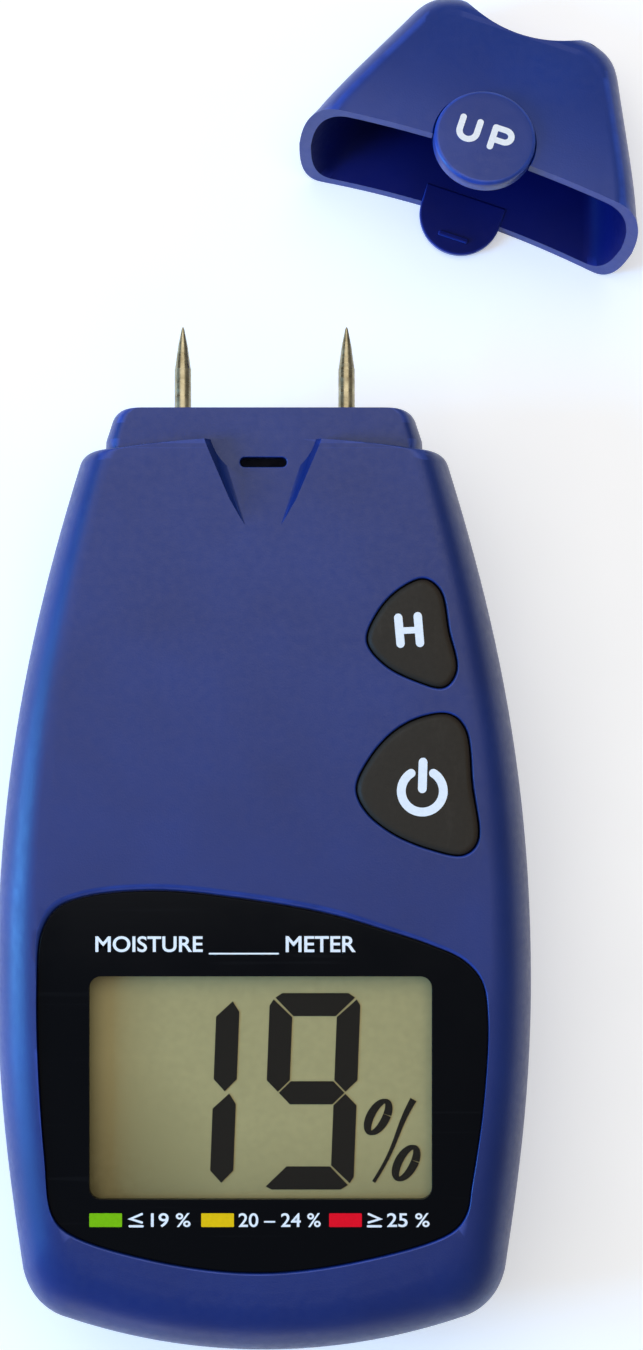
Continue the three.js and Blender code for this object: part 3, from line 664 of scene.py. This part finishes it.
BLUE, BLUE_DARK = srgb(11, 42, 114), srgb(7, 35, 102)
MAT = {
    "case": moulded_plastic("case_blue", BLUE, BLUE_DARK, 0.42),
    "cap": moulded_plastic("cap_blue", srgb(14, 51, 135), srgb(9, 43, 121), 0.38),
    # painted shade: a darker, duller blue for the inside of the cap's hollow, which stands in for the shade
    # there
    "cap_hollow_painted_shade": moulded_plastic(
        "cap_hollow_painted_shade", srgb(2, 18, 100), srgb(1, 12, 80), 0.55, dust=False, specular=0.12,
    ),
    "key": rubber("key_rubber", srgb(50, 42, 32)),
    "lens": gloss("lens_black", srgb(13, 13, 15), 0.12, 0.06),
    "pane": clear_pane("clear_pane"),
    "lcd": display_glass("lcd_glass"),
    "segment": printed("lcd_segment", srgb(30, 20, 8), 0.7),
    "white": printed("ink_white", srgb(255, 255, 255)),
    "green": printed("ink_green", srgb(134, 200, 0)),
    "yellow": printed("ink_yellow", srgb(255, 205, 0)),
    "red": printed("ink_red", srgb(255, 0, 34)),
    "pin": turned_metal("pin_steel", srgb(176, 164, 132), (0.05, 1, 0.05), 0.3, srgb(96, 80, 48)),
    "brass": turned_metal("brass", srgb(214, 172, 92), (0.05, 1, 0.05), 0.28, srgb(120, 84, 40)),
    "zinc": turned_metal("zinc", srgb(190, 192, 196), (1, 1, 0.05), 0.32, srgb(140, 138, 130)),
    "carbon": rubber("carbon_rubber", srgb(18, 18, 18), 0.7),
    "frame": moulded_plastic("frame_plastic", srgb(96, 97, 100), srgb(84, 85, 88), 0.5, dust=False),
    "chip": moulded_plastic("chip_plastic", srgb(22, 22, 24), srgb(16, 16, 18), 0.5, dust=False),
    "board": circuit_board("circuit_board"),
    "wire_red": moulded_plastic("wire_red", srgb(168, 24, 24), srgb(150, 18, 18), 0.4, dust=False),
    "wire_black": moulded_plastic("wire_black", srgb(20, 20, 20), srgb(14, 14, 14), 0.45, dust=False),
}
battery_low, battery_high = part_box("battery")
MAT["battery"] = battery_jacket("battery_jacket", battery_low[1], battery_high[1])


def finish_piece(obj, body, material, nodes=(), angle=32):
    """Shading, material, body and the CAD nodes that the piece stands for."""
    smooth(obj, angle)
    mark_wear(obj)
    obj.data.materials.clear()
    obj.data.materials.append(MAT[material])
    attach(obj, body)
    if nodes:
        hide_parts(*nodes)
    return obj


# ---- casing ----
lens_loop = smooth_loop(LENS_KNOTS)
hold_loop = smooth_loop(HOLD_KNOTS)
power_loop = smooth_loop(POWER_KNOTS)
BODY_SPAN = LEDGE_Y - BOTTOM_Y


def flat(z):
    """A face that stays at one height along the whole block."""
    return lambda y: z


def hull_of(points):
    mesh = bpy.data.meshes.new("tool")
    bm = bmesh.new()
    for p in points:
        bm.verts.new([c * MM for c in p])
    out = bmesh.ops.convex_hull(bm, input=bm.verts)
    spare = out["geom_interior"] + out["geom_unused"]
    loose = list({v for v in spare if isinstance(v, bmesh.types.BMVert)})
    bmesh.ops.delete(bm, geom=loose, context="VERTS")
    bm.to_mesh(mesh)
    bm.free()
    obj = placed("tool", mesh)
    tidy(obj)
    return obj


def thumb_recess():
    """The seat of the cap's thumb pad: a dish with sloped sides that runs out in a rounded flare."""
    points = []
    for x, y, z, radius, count in (
        (0, THUMB_Y, NECK_FRONT, 7.2, 96), (0, THUMB_Y, THICK + 2, 8.5, 96),
        (0, 44.5, THICK, 3.2, 48), (0, 42.2, THICK + 2, 3.2, 48),
    ):
        for i in range(count):
            angle = 2 * math.pi * i / count
            points.append((x + radius * math.cos(angle), y + radius * math.sin(angle), z))
    return hull_of(points)


def casing_blocks():
    outer = casing("casing", body_half(), flat(THICK), body_back, side_roll, end_roll, BODY_SPAN, 18)
    neck = casing("neck", neck_half(0), flat(NECK_FRONT), neck_back, neck_roll, no_roll, 1, 12)
    inner = casing(
        "inner", shrunk(body_half(8), SIDE_WALL, 2.2, NECK_WALL), flat(THICK - WALL),
        lambda y: body_back(y) + 2.1, side_roll, end_roll, BODY_SPAN, 5,
    )
    neck_inner = casing(
        "neck_inner", neck_half(NECK_WALL), flat(NECK_FRONT - NECK_WALL),
        lambda y: neck_back(y) + NECK_WALL, neck_roll, no_roll, 1, 5,
    )
    join(outer, neck)
    cut(outer, inner, neck_inner)
    return outer


def clipped(obj, z0, z1):
    return boolean(obj, box_tool(-60, 60, -90, 90, z0, z1), "INTERSECT")


def cut_pin_ways(shell):
    """The socket's seat, the pin's hole and the hole's flared mouth, for both pins."""
    hole = PIN_RADIUS + GAP
    steps = [(48.5, 54.5, 2.7, 2.7), (54.5, 57.6, hole, hole), (57.6, 58.6, hole, hole + 0.7)]
    for x in (-PIN_X, PIN_X):
        for y0, y1, r0, r1 in steps:
            cut(shell, rod("tool", (x, y0, PIN_Z), (x, y1, PIN_Z), r0, 48, r1))


def front_shell(whole):
    shell = clipped(copy_of(whole, "front_casing"), PARTING_Z + GAP / 2, 60)
    seat = prism(arc((0, THUMB_Y - 1), 9.2, 0, 354, 59), NECK_FRONT - 1.9, 28.4)
    join(shell, cut(seat, box_tool(-20, 20, LEDGE_Y - 0.3, 80, 0, 40)))
    for x, y, _ in SCREWS:
        join(shell, rod("tool", (x, y, PARTING_Z + 0.3), (x, y, 27.0), 2.6, 32))
    # The lens pocket's upper wall leans back more than its sides and bottom do.
    lean = [0.22 + 0.75 * max(0.0, min(1.0, (p[1] + 17.5) / 9)) for p in lens_loop]
    cut(
        shell,
        thumb_recess(),
        flared(rounded_rectangle(*SLOT, 0.64), CUT_LOW, NECK_FRONT, 0.15),
        flared(grown(lens_loop, 0.12), POCKET_Z, THICK, lean),
        prism(rounded_rectangle(*GLASS_POCKET, 0.5), CUT_LOW, CUT_HIGH),
        flared(grown(hold_loop, KEY_CLEARANCE), CUT_LOW, THICK, 0.3),
        flared(grown(power_loop, KEY_CLEARANCE), CUT_LOW, THICK, 0.3),
    )
    cut_pin_ways(shell)
    return finish_piece(shell, "root", "case", ["front_shell"])


def rear_shell(whole):
    shell = clipped(whole, -10, PARTING_Z - GAP / 2)
    shell.name = "rear_casing"
    for x, y, _ in SCREWS:
        join(shell, rod("tool", (x, y, body_back(y) + 1), (x, y, PARTING_Z - 0.3), 3.4, 32))
    y = LEDGE_Y - 1.4
    seat = rod("tool", (0, y, BACK_AT_LEDGE + 0.6), (0, y, NECK_BACK + 1.9), 7.6, 48)
    join(shell, cut(seat, box_tool(-20, 20, LEDGE_Y - 0.6, 80, 0, 40)))
    for *sides, top in BAY_WALLS:
        join(shell, box_tool(*sides, 1, top))
    for x, y, seat in SCREWS:
        cut(shell, rod("tool", (x, y, -5), (x, y, seat), 2.6), rod("tool", (x, y, 0), (x, y, 30), 1.4, 24))
    # The door's opening flares towards the back, so its tool is drawn upside down.
    door_loop = rounded_rectangle(-DOOR_HALF - GAP, DOOR_HALF + GAP, DOOR_Y0 - 1.8, DOOR_Y1 + GAP, 0.8)
    cut(shell, upside_down(flared(door_loop, -4, 0, 0.25)))
    cut(shell, rod("tool", (-17.2, DOOR_Y0, KNUCKLE), (17.2, DOOR_Y0, KNUCKLE), DOOR_PIN_BORE, 24))
    cut(shell, rod("tool", (0, LEDGE_Y, -5), (0, LEDGE_Y, NECK_BACK), 6.3, 64))
    cut_pin_ways(shell)
    return finish_piece(shell, "root", "case", ["rear_shell"])


def upside_down(obj):
    """Mirrors a tool in the plane z = 0."""
    obj.data.transform(Matrix.Scale(-1, 4, (0, 0, 1)))
    obj.data.flip_normals()
    return obj


def battery_door():
    """Door plate with a knuckle on its hinged edge, a finger notch and three grip ribs."""
    loop = rounded_rectangle(-DOOR_HALF, DOOR_HALF, DOOR_Y0, DOOR_Y1, 0.6)
    door = upside_down(pill("door_plate", loop, -DOOR_THICK, 0, 0.25, 0.1))
    join(door, rod("tool", (-DOOR_HALF, DOOR_Y0, KNUCKLE), (DOOR_HALF, DOOR_Y0, KNUCKLE), KNUCKLE, 48))
    cut(door, rod("tool", (-20, DOOR_Y0, KNUCKLE), (20, DOOR_Y0, KNUCKLE), DOOR_PIN_BORE, 32))
    cut(door, rod("tool", (0, DOOR_Y1 - 2.5, -3.3), (0, DOOR_Y1 - 2.5, 0.7), 4.2, 48))
    for k in range(GRIP_RIBS):
        y = DOOR_Y1 - 9.0 - GRIP_PITCH * k
        cut(door, rod("tool", (-6, y, -0.25), (6, y, -0.25), 0.7, 24))
    return finish_piece(door, "battery_door", "case", ["battery_door"])


# ---- cap ----
cap_depth = THICK - BACK_AT_LEDGE
cap_rest_z = cap_depth * math.cos(CAP_SLOPE) - THUMB_INSET * math.sin(CAP_SLOPE)
CAP_PLACE = (
    Matrix.Translation(Vector((*CAP_REST, cap_rest_z)) * MM)
    @ Euler((0, 0, CAP_YAW)).to_matrix().to_4x4()
    @ Euler((-CAP_SLOPE, 0, 0)).to_matrix().to_4x4()
    @ Matrix.Translation(Vector((0, -THUMB_Y, -THICK)) * MM)
)


def laid_down(obj):
    """Moves a piece drawn on the neck to where the cap lies beside the meter."""
    obj.data.transform(CAP_PLACE)
    return obj


def tilted(obj):
    """Lays a flat tool along the cap's sloping back, at its rim."""
    place = Matrix.Translation(Vector((0, LEDGE_Y + GAP, BACK_AT_LEDGE)) * MM)
    obj.data.transform(place @ Euler((CAP_SLOPE, 0, 0)).to_matrix().to_4x4())
    return obj


def cap_shell():
    """The cap, drawn on the neck and then laid down, with its hollow in a second, darker material that
    paints in the shade inside it.
    """
    rim = LEDGE_Y + GAP
    outline = cap_half(0, rim - 2.4)
    shell = casing("cap_casing", outline, cap_front, cap_back, side_roll, cap_end_roll, CAP_LENGTH, 18)
    inner = casing(
        "inner", cap_half(CAP_WALL, rim - 4), lambda y: cap_front(y) - CAP_WALL,
        lambda y: cap_back(y) + CAP_WALL, side_roll, no_roll, 1, 12,
    )
    radius = SCALLOP_RADIUS
    centre = rim + CAP_LENGTH + radius - SCALLOP_DEPTH
    flare = [(radius + 1.2, 0), (radius, 15), (radius, 24.6), (radius + 1.4, 28.6), (radius + 6, 32)]
    scallop = lathe("tool", flare, (0, centre, 0), (0, 0, 1), 240)
    cut(inner, rod("tool", (0, centre, 0), (0, centre, 40), radius + CAP_WALL, 240))
    arc_y = rim - LEDGE_RADIUS
    rim_arc = rod("tool", (0, arc_y, -5), (0, arc_y, 40), LEDGE_RADIUS, 1200)
    cut(shell, inner, scallop, rim_arc)
    half_round = arc((0, TONGUE_CENTRE_Y), TONGUE_RADIUS, 180, 360, 40)
    loop = chain([(-TONGUE_RADIUS, 3)], half_round, [(TONGUE_RADIUS, 3)])
    join(shell, tilted(pill("tool", loop, 0.35, 1.65, 0.3, 0.2)))
    join(shell, tilted(pill("tool", rounded_rectangle(-2.2, 2.2, -3.55, -2.85, 0.3), 1.2, 2.1, 0.25, 0.1)))
    cut(shell, flared(arc((0, THUMB_Y), THUMB_RADIUS + 0.16, 0, 357, 119), 26, THICK, 0.18))
    hollow = [is_inside_cap(f.center / MM, f.normal) for f in shell.data.polygons]
    laid_down(shell)
    finish_piece(shell, "cap", "cap", ["cap_shell"])
    # the hollow's faces get the darker material, which paints in the shade inside the cap
    shell.data.materials.append(MAT["cap_hollow_painted_shade"])
    for face, inside in zip(shell.data.polygons, hollow):
        face.material_index = 1 if inside else 0
    return shell


def is_inside_cap(centre, normal):
    """Whether a face of the cap, as drawn on the neck, belongs to its hollow."""
    end_wall = normal.y < -0.7 and centre.y > LEDGE_Y + 5
    towards_middle = -centre.x * normal.x + (PARTING_Z - centre.z) * normal.z > 0.3
    on_top = centre.z > THICK - CAP_WALL * 0.9
    return end_wall or (towards_middle and not on_top and abs(normal.y) < 0.9)


def thumb_pad():
    """The round pad, slightly crowned, turned about its own axis."""
    edge = 0.55
    profile = [(0.05, 28.4), (THUMB_RADIUS - 0.3, 28.4), (THUMB_RADIUS, 28.7)]
    profile += [(THUMB_RADIUS - a, THUMB_TOP - 0.12 - b) for a, b in edge_profile(edge, 6)]
    profile += [(THUMB_RADIUS * f, THUMB_TOP - 0.12 * f * f * 1.3) for f in (0.8, 0.6, 0.4, 0.2)]
    profile.append((0.05, THUMB_TOP))
    pad = lathe("thumb_pad", profile, (0, THUMB_Y, 0), (0, 0, 1), 96)
    laid_down(pad)
    return finish_piece(pad, "cap_pad", "cap", ["cap_thumb_pad"], 50)


# ---- display ----
def lens_mask():
    mask = pill("display_overlay", lens_loop, LENS_TOP - LENS_THICK, LENS_TOP, 0.18, 0.08)
    window = flared(rounded_rectangle(*LCD_WINDOW, 1.5), 20, LENS_TOP, 0.06)
    cut(mask, window)
    return finish_piece(mask, "root", "lens", ["lens_mask"])


SEGMENT_Z, SEGMENT_DEPTH, SEGMENT_THICK = 26.95, 0.05, 3.05
DIGIT_SLANT = math.tan(math.radians(2.2))
DIGIT_FOOT = -45.4


def flat_mark(name, loops, z, thick, body, material):
    """Thin printed marks: each loop is a plate of its own, all in one piece."""
    points, faces = [], []
    for loop in loops:
        base, count = len(points), len(loop)
        points += lifted(loop, z) + lifted(loop, z + thick)
        faces.append(tuple(range(base, base + count))[::-1])
        faces.append(tuple(range(base + count, base + 2 * count)))
        faces += band(base, base + count, count)
    mark = piece(name, points, faces)
    return finish_piece(mark, body, material)


def lean(points):
    """Slants a bar of a digit to the right."""
    return [(x + (y - DIGIT_FOOT) * DIGIT_SLANT, y) for x, y in points]


def digits():
    """The reading: a 1 and a 9 of seven-segment bars."""
    loops = [lean(loop) for loop in one() + nine()]
    return flat_mark("reading_digits", loops, SEGMENT_Z, SEGMENT_DEPTH, "root", "segment")


def one():
    """The lower and the upper bar of the 1."""
    x, h = -5.6, SEGMENT_THICK / 2
    bars = []
    for y0, y1 in ((-32.5, -20.6), (-44.6, -32.8)):
        foot = [(x - h, y0 + 1.6), (x, y0), (x + h, y0 + 1.6)]
        bars.append(foot + [(x + h, y1 - 1.4), (x + 0.6, y1), (x - h, y1 - 2.0)])
    return bars


def nine():
    """The six lit bars of the 9, with narrow gaps between them and rounded outer corners."""
    left, right, bottom, top = -0.1, 11.9, -45.5, -19.5
    middle = (bottom + top) / 2 - 0.2
    t, g = SEGMENT_THICK, 0.14
    h = t / 2
    corner = 1.5
    top_bar = [
        (left + corner + g, top), (left + 0.6 + g, top - 0.6), (left + t + g, top - t),
        (right - t - g, top - t), (right - 0.6 - g, top - 0.6), (right - corner - g, top),
    ]
    upper_right = [
        (right, top - corner - g), (right - 0.5, top - 0.7 - g), (right - t, top - t - g),
        (right - t, middle + h + g), (right - h, middle + g), (right, middle + h + g),
    ]
    upper_left = [
        (left, top - corner - g), (left, middle + h + g), (left + h, middle + g),
        (left + t, middle + h + g), (left + t, top - t - g), (left + 0.5, top - 0.7 - g),
    ]
    middle_bar = [
        (left + h + g, middle), (left + t + g, middle + h), (right - t - g, middle + h),
        (right - h - g, middle), (right - t - g, middle - h), (left + t + g, middle - h),
    ]
    lower_right = [
        (right, bottom + corner + g), (right - 0.5, bottom + 0.7 + g), (right - t, bottom + t + g),
        (right - t, middle - h - g), (right - h, middle - g), (right, middle - h - g),
    ]
    # The bottom bar's left end is cut off at an angle.
    bottom_bar = [
        (left + 0.4, bottom + 0.4), (left + 1.2, bottom), (right - corner - g, bottom),
        (right - 0.6 - g, bottom + 0.6), (right - t - g, bottom + t), (left + t, bottom + t),
    ]
    return [top_bar, upper_right, upper_left, middle_bar, lower_right, bottom_bar]


def stroke(points, widths):
    """A flat brush stroke along points, with a width at each."""
    pts = np.array(points, float)
    along = np.gradient(pts, axis=0)
    along /= np.linalg.norm(along, axis=1)[:, None]
    across = np.column_stack([-along[:, 1], along[:, 0]]) * np.reshape(widths, (-1, 1)) / 2
    return [tuple(p) for p in pts + across] + [tuple(p) for p in (pts - across)[::-1]]


def line(points, width, count=8):
    """The outline of an even pen stroke with round ends."""
    pts = np.array(points, float)
    step = np.diff(pts, axis=0)
    step /= np.linalg.norm(step, axis=1)[:, None]
    normal = np.column_stack([-step[:, 1], step[:, 0]])
    mitre = np.vstack([normal[:1], normal[:-1] + normal[1:], normal[-1:]])
    mitre /= np.linalg.norm(mitre, axis=1)[:, None]
    first = np.vstack([normal[:1], normal])
    side = mitre * (width / 2 / np.maximum(0.4, np.sum(mitre * first, axis=1)))[:, None]
    start = math.degrees(math.atan2(step[0][1], step[0][0]))
    end = math.degrees(math.atan2(step[-1][1], step[-1][0]))
    return chain(
        pts - side, arc(pts[-1], width / 2, end - 90, end + 90, count), (pts + side)[::-1],
        arc(pts[0], width / 2, start + 90, start + 270, count),
    )


def sign(name, outlines, z, thick, body, material, place=None):
    """A thin printed sign made of overlapping strokes."""
    obj = None
    for outline in outlines:
        plate = prism(outline, z, z + thick, name)
        obj = plate if obj is None else join(obj, plate)
    obj.name = name
    if place is not None:
        obj.data.transform(place)
    return finish_piece(obj, body, material)


def percent_sign():
    """A slanted percent sign drawn with brush strokes of changing width."""
    loops = []
    foot_x, foot_y, head_y, steps = 14.6, -44.5, -33.6, 16
    slash_y = np.linspace(foot_y, head_y, steps)
    rise = (slash_y - foot_y) * 0.5
    slash_x = foot_x + rise + 0.25 * np.sin(rise)
    loops.append(stroke(list(zip(slash_x, slash_y)), 0.45 + 0.45 * np.linspace(0, 1, steps) ** 2))
    angles = np.radians(np.linspace(8, 366, 32))
    half_width, half_height, slant = 1.1, 2.1, 0.42
    for cx, cy in ((15.2, -35.9), (18.9, -42.0)):
        ring = []
        for a in angles:
            x = cx + half_width * math.cos(a) + slant * half_height * math.sin(a)
            ring.append((x, cy + half_height * math.sin(a)))
        loops.append(stroke(ring, [0.6 + 0.5 * abs(math.cos(a)) for a in angles]))
    return flat_mark("reading_percent", loops, SEGMENT_Z, SEGMENT_DEPTH, "root", "segment")


def lettering(name, text, box, z, body, material, weight=0.0):
    """Generic printed letters as a thin solid that fills a box (x0, x1, y0, y1)."""
    curve = bpy.data.curves.new(name, "FONT")
    curve.body = text
    curve.extrude = 0.01
    curve.offset = weight
    curve.resolution_u = 6
    source = placed(name + "_curve", curve)
    graph = bpy.context.evaluated_depsgraph_get()
    mesh = bpy.data.meshes.new_from_object(source.evaluated_get(graph))
    bpy.data.objects.remove(source)
    low = [min(v.co[i] for v in mesh.vertices) for i in range(2)]
    high = [max(v.co[i] for v in mesh.vertices) for i in range(2)]
    x0, x1, y0, y1 = box
    sx, sy = (x1 - x0) / (high[0] - low[0]), (y1 - y0) / (high[1] - low[1])
    for v in mesh.vertices:
        v.co = Vector((x0 + (v.co.x - low[0]) * sx, y0 + (v.co.y - low[1]) * sy, z + v.co.z)) * MM
    return finish_piece(placed(name, mesh), body, material, angle=40)


INK_Z, INK_THICK = LENS_TOP + 0.01, 0.03
LEGEND_LOW, LEGEND_HIGH = -49.9, -48.1
HEADING_LOW, HEADING_HIGH = -13.8, -11.7
BAR_WIDTH = 4.3


def print_sign(name, outlines):
    """White strokes printed on the display overlay."""
    return sign(name, outlines, INK_Z, INK_THICK, "root", "white")


def print_text(name, text, x0, x1, low, high, weight):
    """White letters printed on the display overlay."""
    return lettering(name, text, (x0, x1, low, high), INK_Z, "root", "white", weight)


def legend():
    """The scale under the display: three colour bars, each with its range."""
    low, high = LEGEND_LOW, LEGEND_HIGH
    for name, x0 in (("green", -22.8), ("yellow", -8.1), ("red", 8.7)):
        bar = rounded_rectangle(x0, x0 + BAR_WIDTH, low, high, 0.12, 3)
        flat_mark(f"legend_{name}", [bar], INK_Z, INK_THICK, "root", name)
    ranges = [("dry", "19 %", -14.7, -9.5), ("damp", "20 – 24 %", -3.2, 7.6), ("wet", "25 %", 16.3, 21.9)]
    for name, text, x0, x1 in ranges:
        print_text(f"legend_{name}", text, x0, x1, low - 0.02, high + 0.02, 0.012)
    for name, x0, tip, back in (("most", -17.5, 0.1, 1.6), ("least", 13.8, 1.6, 0.1)):
        angle = [(x0 + back, high - 0.1), (x0 + tip, -48.85), (x0 + back, low + 0.6)]
        rule = [(x0, low + 0.1), (x0 + 1.7, low + 0.1)]
        print_sign(f"legend_{name}", [line(angle, 0.3), line(rule, 0.3)])


def heading():
    """Two plain words above the display, with a rule between them."""
    print_text("heading_left", "MOISTURE", -22.0, -7.9, HEADING_LOW, HEADING_HIGH, 0.016)
    print_text("heading_right", "METER", 3.0, 12.2, HEADING_LOW, HEADING_HIGH, 0.016)
    print_sign("heading_rule", [line([(-7.0, -14.0), (2.0, -14.0)], 0.22)])


# ---- keys ----
def key(name, loop, node):
    """A rubber key: a crowned top with a soft rounded edge, and a hidden flange."""
    low, high, flange = KEY_FLANGE_LOW, KEY_FLANGE_HIGH, grown(loop, KEY_FLANGE_OUT)
    rings = [lifted(loop, KEY_FOOT), lifted(loop, low), lifted(flange, low), lifted(flange, high)]
    rings += [lifted(loop, high)]
    for inset, drop in edge_profile(KEY_EDGE, 7):
        rings.append(lifted(grown(loop, -inset), KEY_TOP - KEY_CROWN - drop))
    middle = np.mean(np.array(loop), axis=0)
    for f in (0.8, 0.6, 0.4, 0.2, 0.05):
        inner = middle + (np.array(grown(loop, -KEY_EDGE)) - middle) * f
        rings.append(lifted(inner, KEY_TOP - KEY_CROWN * f * f))
    obj = stack(name, rings)
    return finish_piece(obj, node, "key", [node], 60)


def key_sign(name, outlines, body):
    """White strokes printed on a key."""
    return sign(name, outlines, KEY_TOP - 0.02, 0.06, body, "white")


def key_marks():
    """The hold key's H and the power key's ring and bar."""
    uprights = [line([(18.05, 26.7), (17.75, 30.1)], 1.1), line([(20.6, 26.8), (20.3, 30.3)], 1.1)]
    key_sign("hold_mark", uprights + [line([(18, 28.4), (20.4, 28.5)], 0.85)], "hold_key")
    x, y, weight = 20.9, 7.4, 1.15
    key_sign("power_mark_ring", [line(arc((x, y), 2.75, 122, 418, 60), weight)], "power_key")
    key_sign("power_mark_bar", [line([(x, 7.7), (x + 0.1, 11.2)], weight)], "power_key")


def thumb_letters():
    """The word UP, in round-ended strokes, on the cap's thumb pad."""
    low, high, weight = THUMB_Y - 1.25, THUMB_Y + 1.75, 0.86
    turn = arc((-2.45, low + 1.2), 1.2, 180, 360, 16)
    bowl = arc((2.45, high - 0.9), 0.9, 90, -90, 14)
    stem = [(0.95, low), (0.95, high)]
    u = [line(np.vstack([[(-3.65, high)], turn, [(-1.25, high)]]), weight)]
    p = [line(stem, weight), line(np.vstack([[stem[1]], bowl, [(0.95, high - 1.8)]]), weight)]
    for name, outlines in (("thumb_letter_u", u), ("thumb_letter_p", p)):
        sign(name, outlines, THUMB_TOP - 0.04, 0.07, "cap", "white", CAP_PLACE)


# ---- pins ----
def pin(side, x):
    """A turned pin: plain shank, a small shoulder and a slightly blunt cone."""
    cone = PIN_TIP_Y - PIN_CONE
    foot, r, tip = 50, PIN_RADIUS, PIN_TIP_Y
    profile = [(0.05, foot), (0.95, foot), (r, foot + 0.2), (r, cone - 0.15), (r - 0.05, cone)]
    profile += [(0.62, tip - 2.4), (0.2, tip - 0.35), (0.09, tip - 0.05), (0.02, tip)]
    obj = lathe(f"{side}_needle", profile, (x, 0, PIN_Z), (0, 1, 0), 40)
    return finish_piece(obj, "root", "pin", [f"{side}_pin"], 25)


# ---- building ----
whole = casing_blocks()
front_shell(whole)
rear_shell(whole)
battery_door()
cap_shell()
thumb_pad()
thumb_letters()
lens_mask()
digits()
percent_sign()
legend()
heading()
key("hold_button", hold_loop, "hold_key")
key("power_button", power_loop, "power_key")
key_marks()
pin("left", -PIN_X)
pin("right", PIN_X)

# CAD nodes that are shown as they are, by the material they get
CARRIED_OVER = {
    "zinc": ["door_hinge_pin", "crystal", "left_pin_lug", "right_pin_lug"],
    "pane": ["display_window"],
    "frame": ["lcd_frame"],
    "lcd": ["lcd_panel"],
    "carbon": ["zebra_strip_lower", "zebra_strip_upper", "hold_key_contact", "power_key_contact"],
    "board": ["main_board"],
    "chip": ["measuring_chip", "capacitor"],
    "key": ["keypad_mat"],
    "brass": ["left_pin_socket", "right_pin_socket"],
    "wire_black": ["left_pin_lead", "right_pin_lead", "battery_snap", "battery_lead_black"],
    "wire_red": ["battery_lead_red"],
    "battery": ["battery"],
}
CARRIED_OVER["zinc"] += [f"{kind}_screw_{i}" for kind in ("case", "board") for i in range(1, 5)]
for material, nodes in CARRIED_OVER.items():
    for node in nodes:
        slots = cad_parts[node].data.materials
        slots.clear()
        slots.append(MAT[material])


# ---- floor, light and camera ----
SOFTBOXES = [
    # name, place, aim, width, height, power and colour
    ("overhead", (-0.12, 0.5, 0.85), (-0.12, 0.5, 0), 1.1, 1.15, 6.6, (1.0, 0.985, 0.96)),
    ("left_box", (-0.5, -0.04, 0.1), (0.0, 0.0, 0.02), 0.16, 0.7, 6.2, (0.14, 0.49, 1.0)),
    ("low_box", (-0.1, -0.5, 0.05), (-0.02, -0.06, 0.01), 0.4, 0.06, 0.3, (0.75, 0.8, 1.0)),
]
SKY_COLOUR, SKY_STRENGTH = (0.93, 0.96, 1.0, 1), 0.22
CAMERA_X, CAMERA_Y, CAMERA_DISTANCE, VIEW_HEIGHT = 0.0077, 0.0226, 0.35, 0.1834
FLOOR_HALF, FLOOR_GLOW = 6.0, 0.36


def stage():
    """A plain pale floor just under the object."""
    size = FLOOR_HALF
    mesh = bpy.data.meshes.new("floor")
    corners = [(-size, -size, 0), (size, -size, 0), (size, size, 0), (-size, size, 0)]
    mesh.from_pydata(corners, [], [(0, 1, 2, 3)])
    floor = placed("floor", mesh)
    floor.location.z = -0.0001
    n = Nodes("floor_paper")
    tone = n.mix(n.span(n.noise(30, 3, 0.5), 0, 1), srgb(238, 238, 238), srgb(244, 244, 244))
    n.set(Base_Color=tone, Roughness=0.9, Emission_Color=(1, 1, 1, 1), Emission_Strength=FLOOR_GLOW)
    floor.data.materials.append(n.material)


def softbox(name, place, aim, width, height, power, colour):
    light = bpy.data.lights.new(name, "AREA")
    light.shape = "RECTANGLE"
    light.size, light.size_y = width, height
    light.energy = power
    light.color = colour
    obj = placed(name, light)
    obj.location = place
    obj.rotation_euler = (Vector(aim) - Vector(place)).to_track_quat("-Z", "Y").to_euler()


def light_the_stage():
    world = bpy.data.worlds.new("studio")
    bpy.context.scene.world = world
    world.use_nodes = True
    sky = world.node_tree.nodes["Background"]
    sky.inputs["Color"].default_value = SKY_COLOUR
    sky.inputs["Strength"].default_value = SKY_STRENGTH
    for box in SOFTBOXES:
        softbox(*box)


def camera():
    """Straight above; the height of view is taken at the parting line."""
    data = bpy.data.cameras.new("camera")
    data.sensor_width = 36.0
    data.lens = data.sensor_width * CAMERA_DISTANCE / VIEW_HEIGHT
    obj = placed("camera", data)
    obj.location = (CAMERA_X, CAMERA_Y, PARTING_Z * MM + CAMERA_DISTANCE)
    bpy.context.scene.camera = obj


stage()
light_the_stage()
camera()
bpy.context.scene.view_settings.view_transform = "Standard"
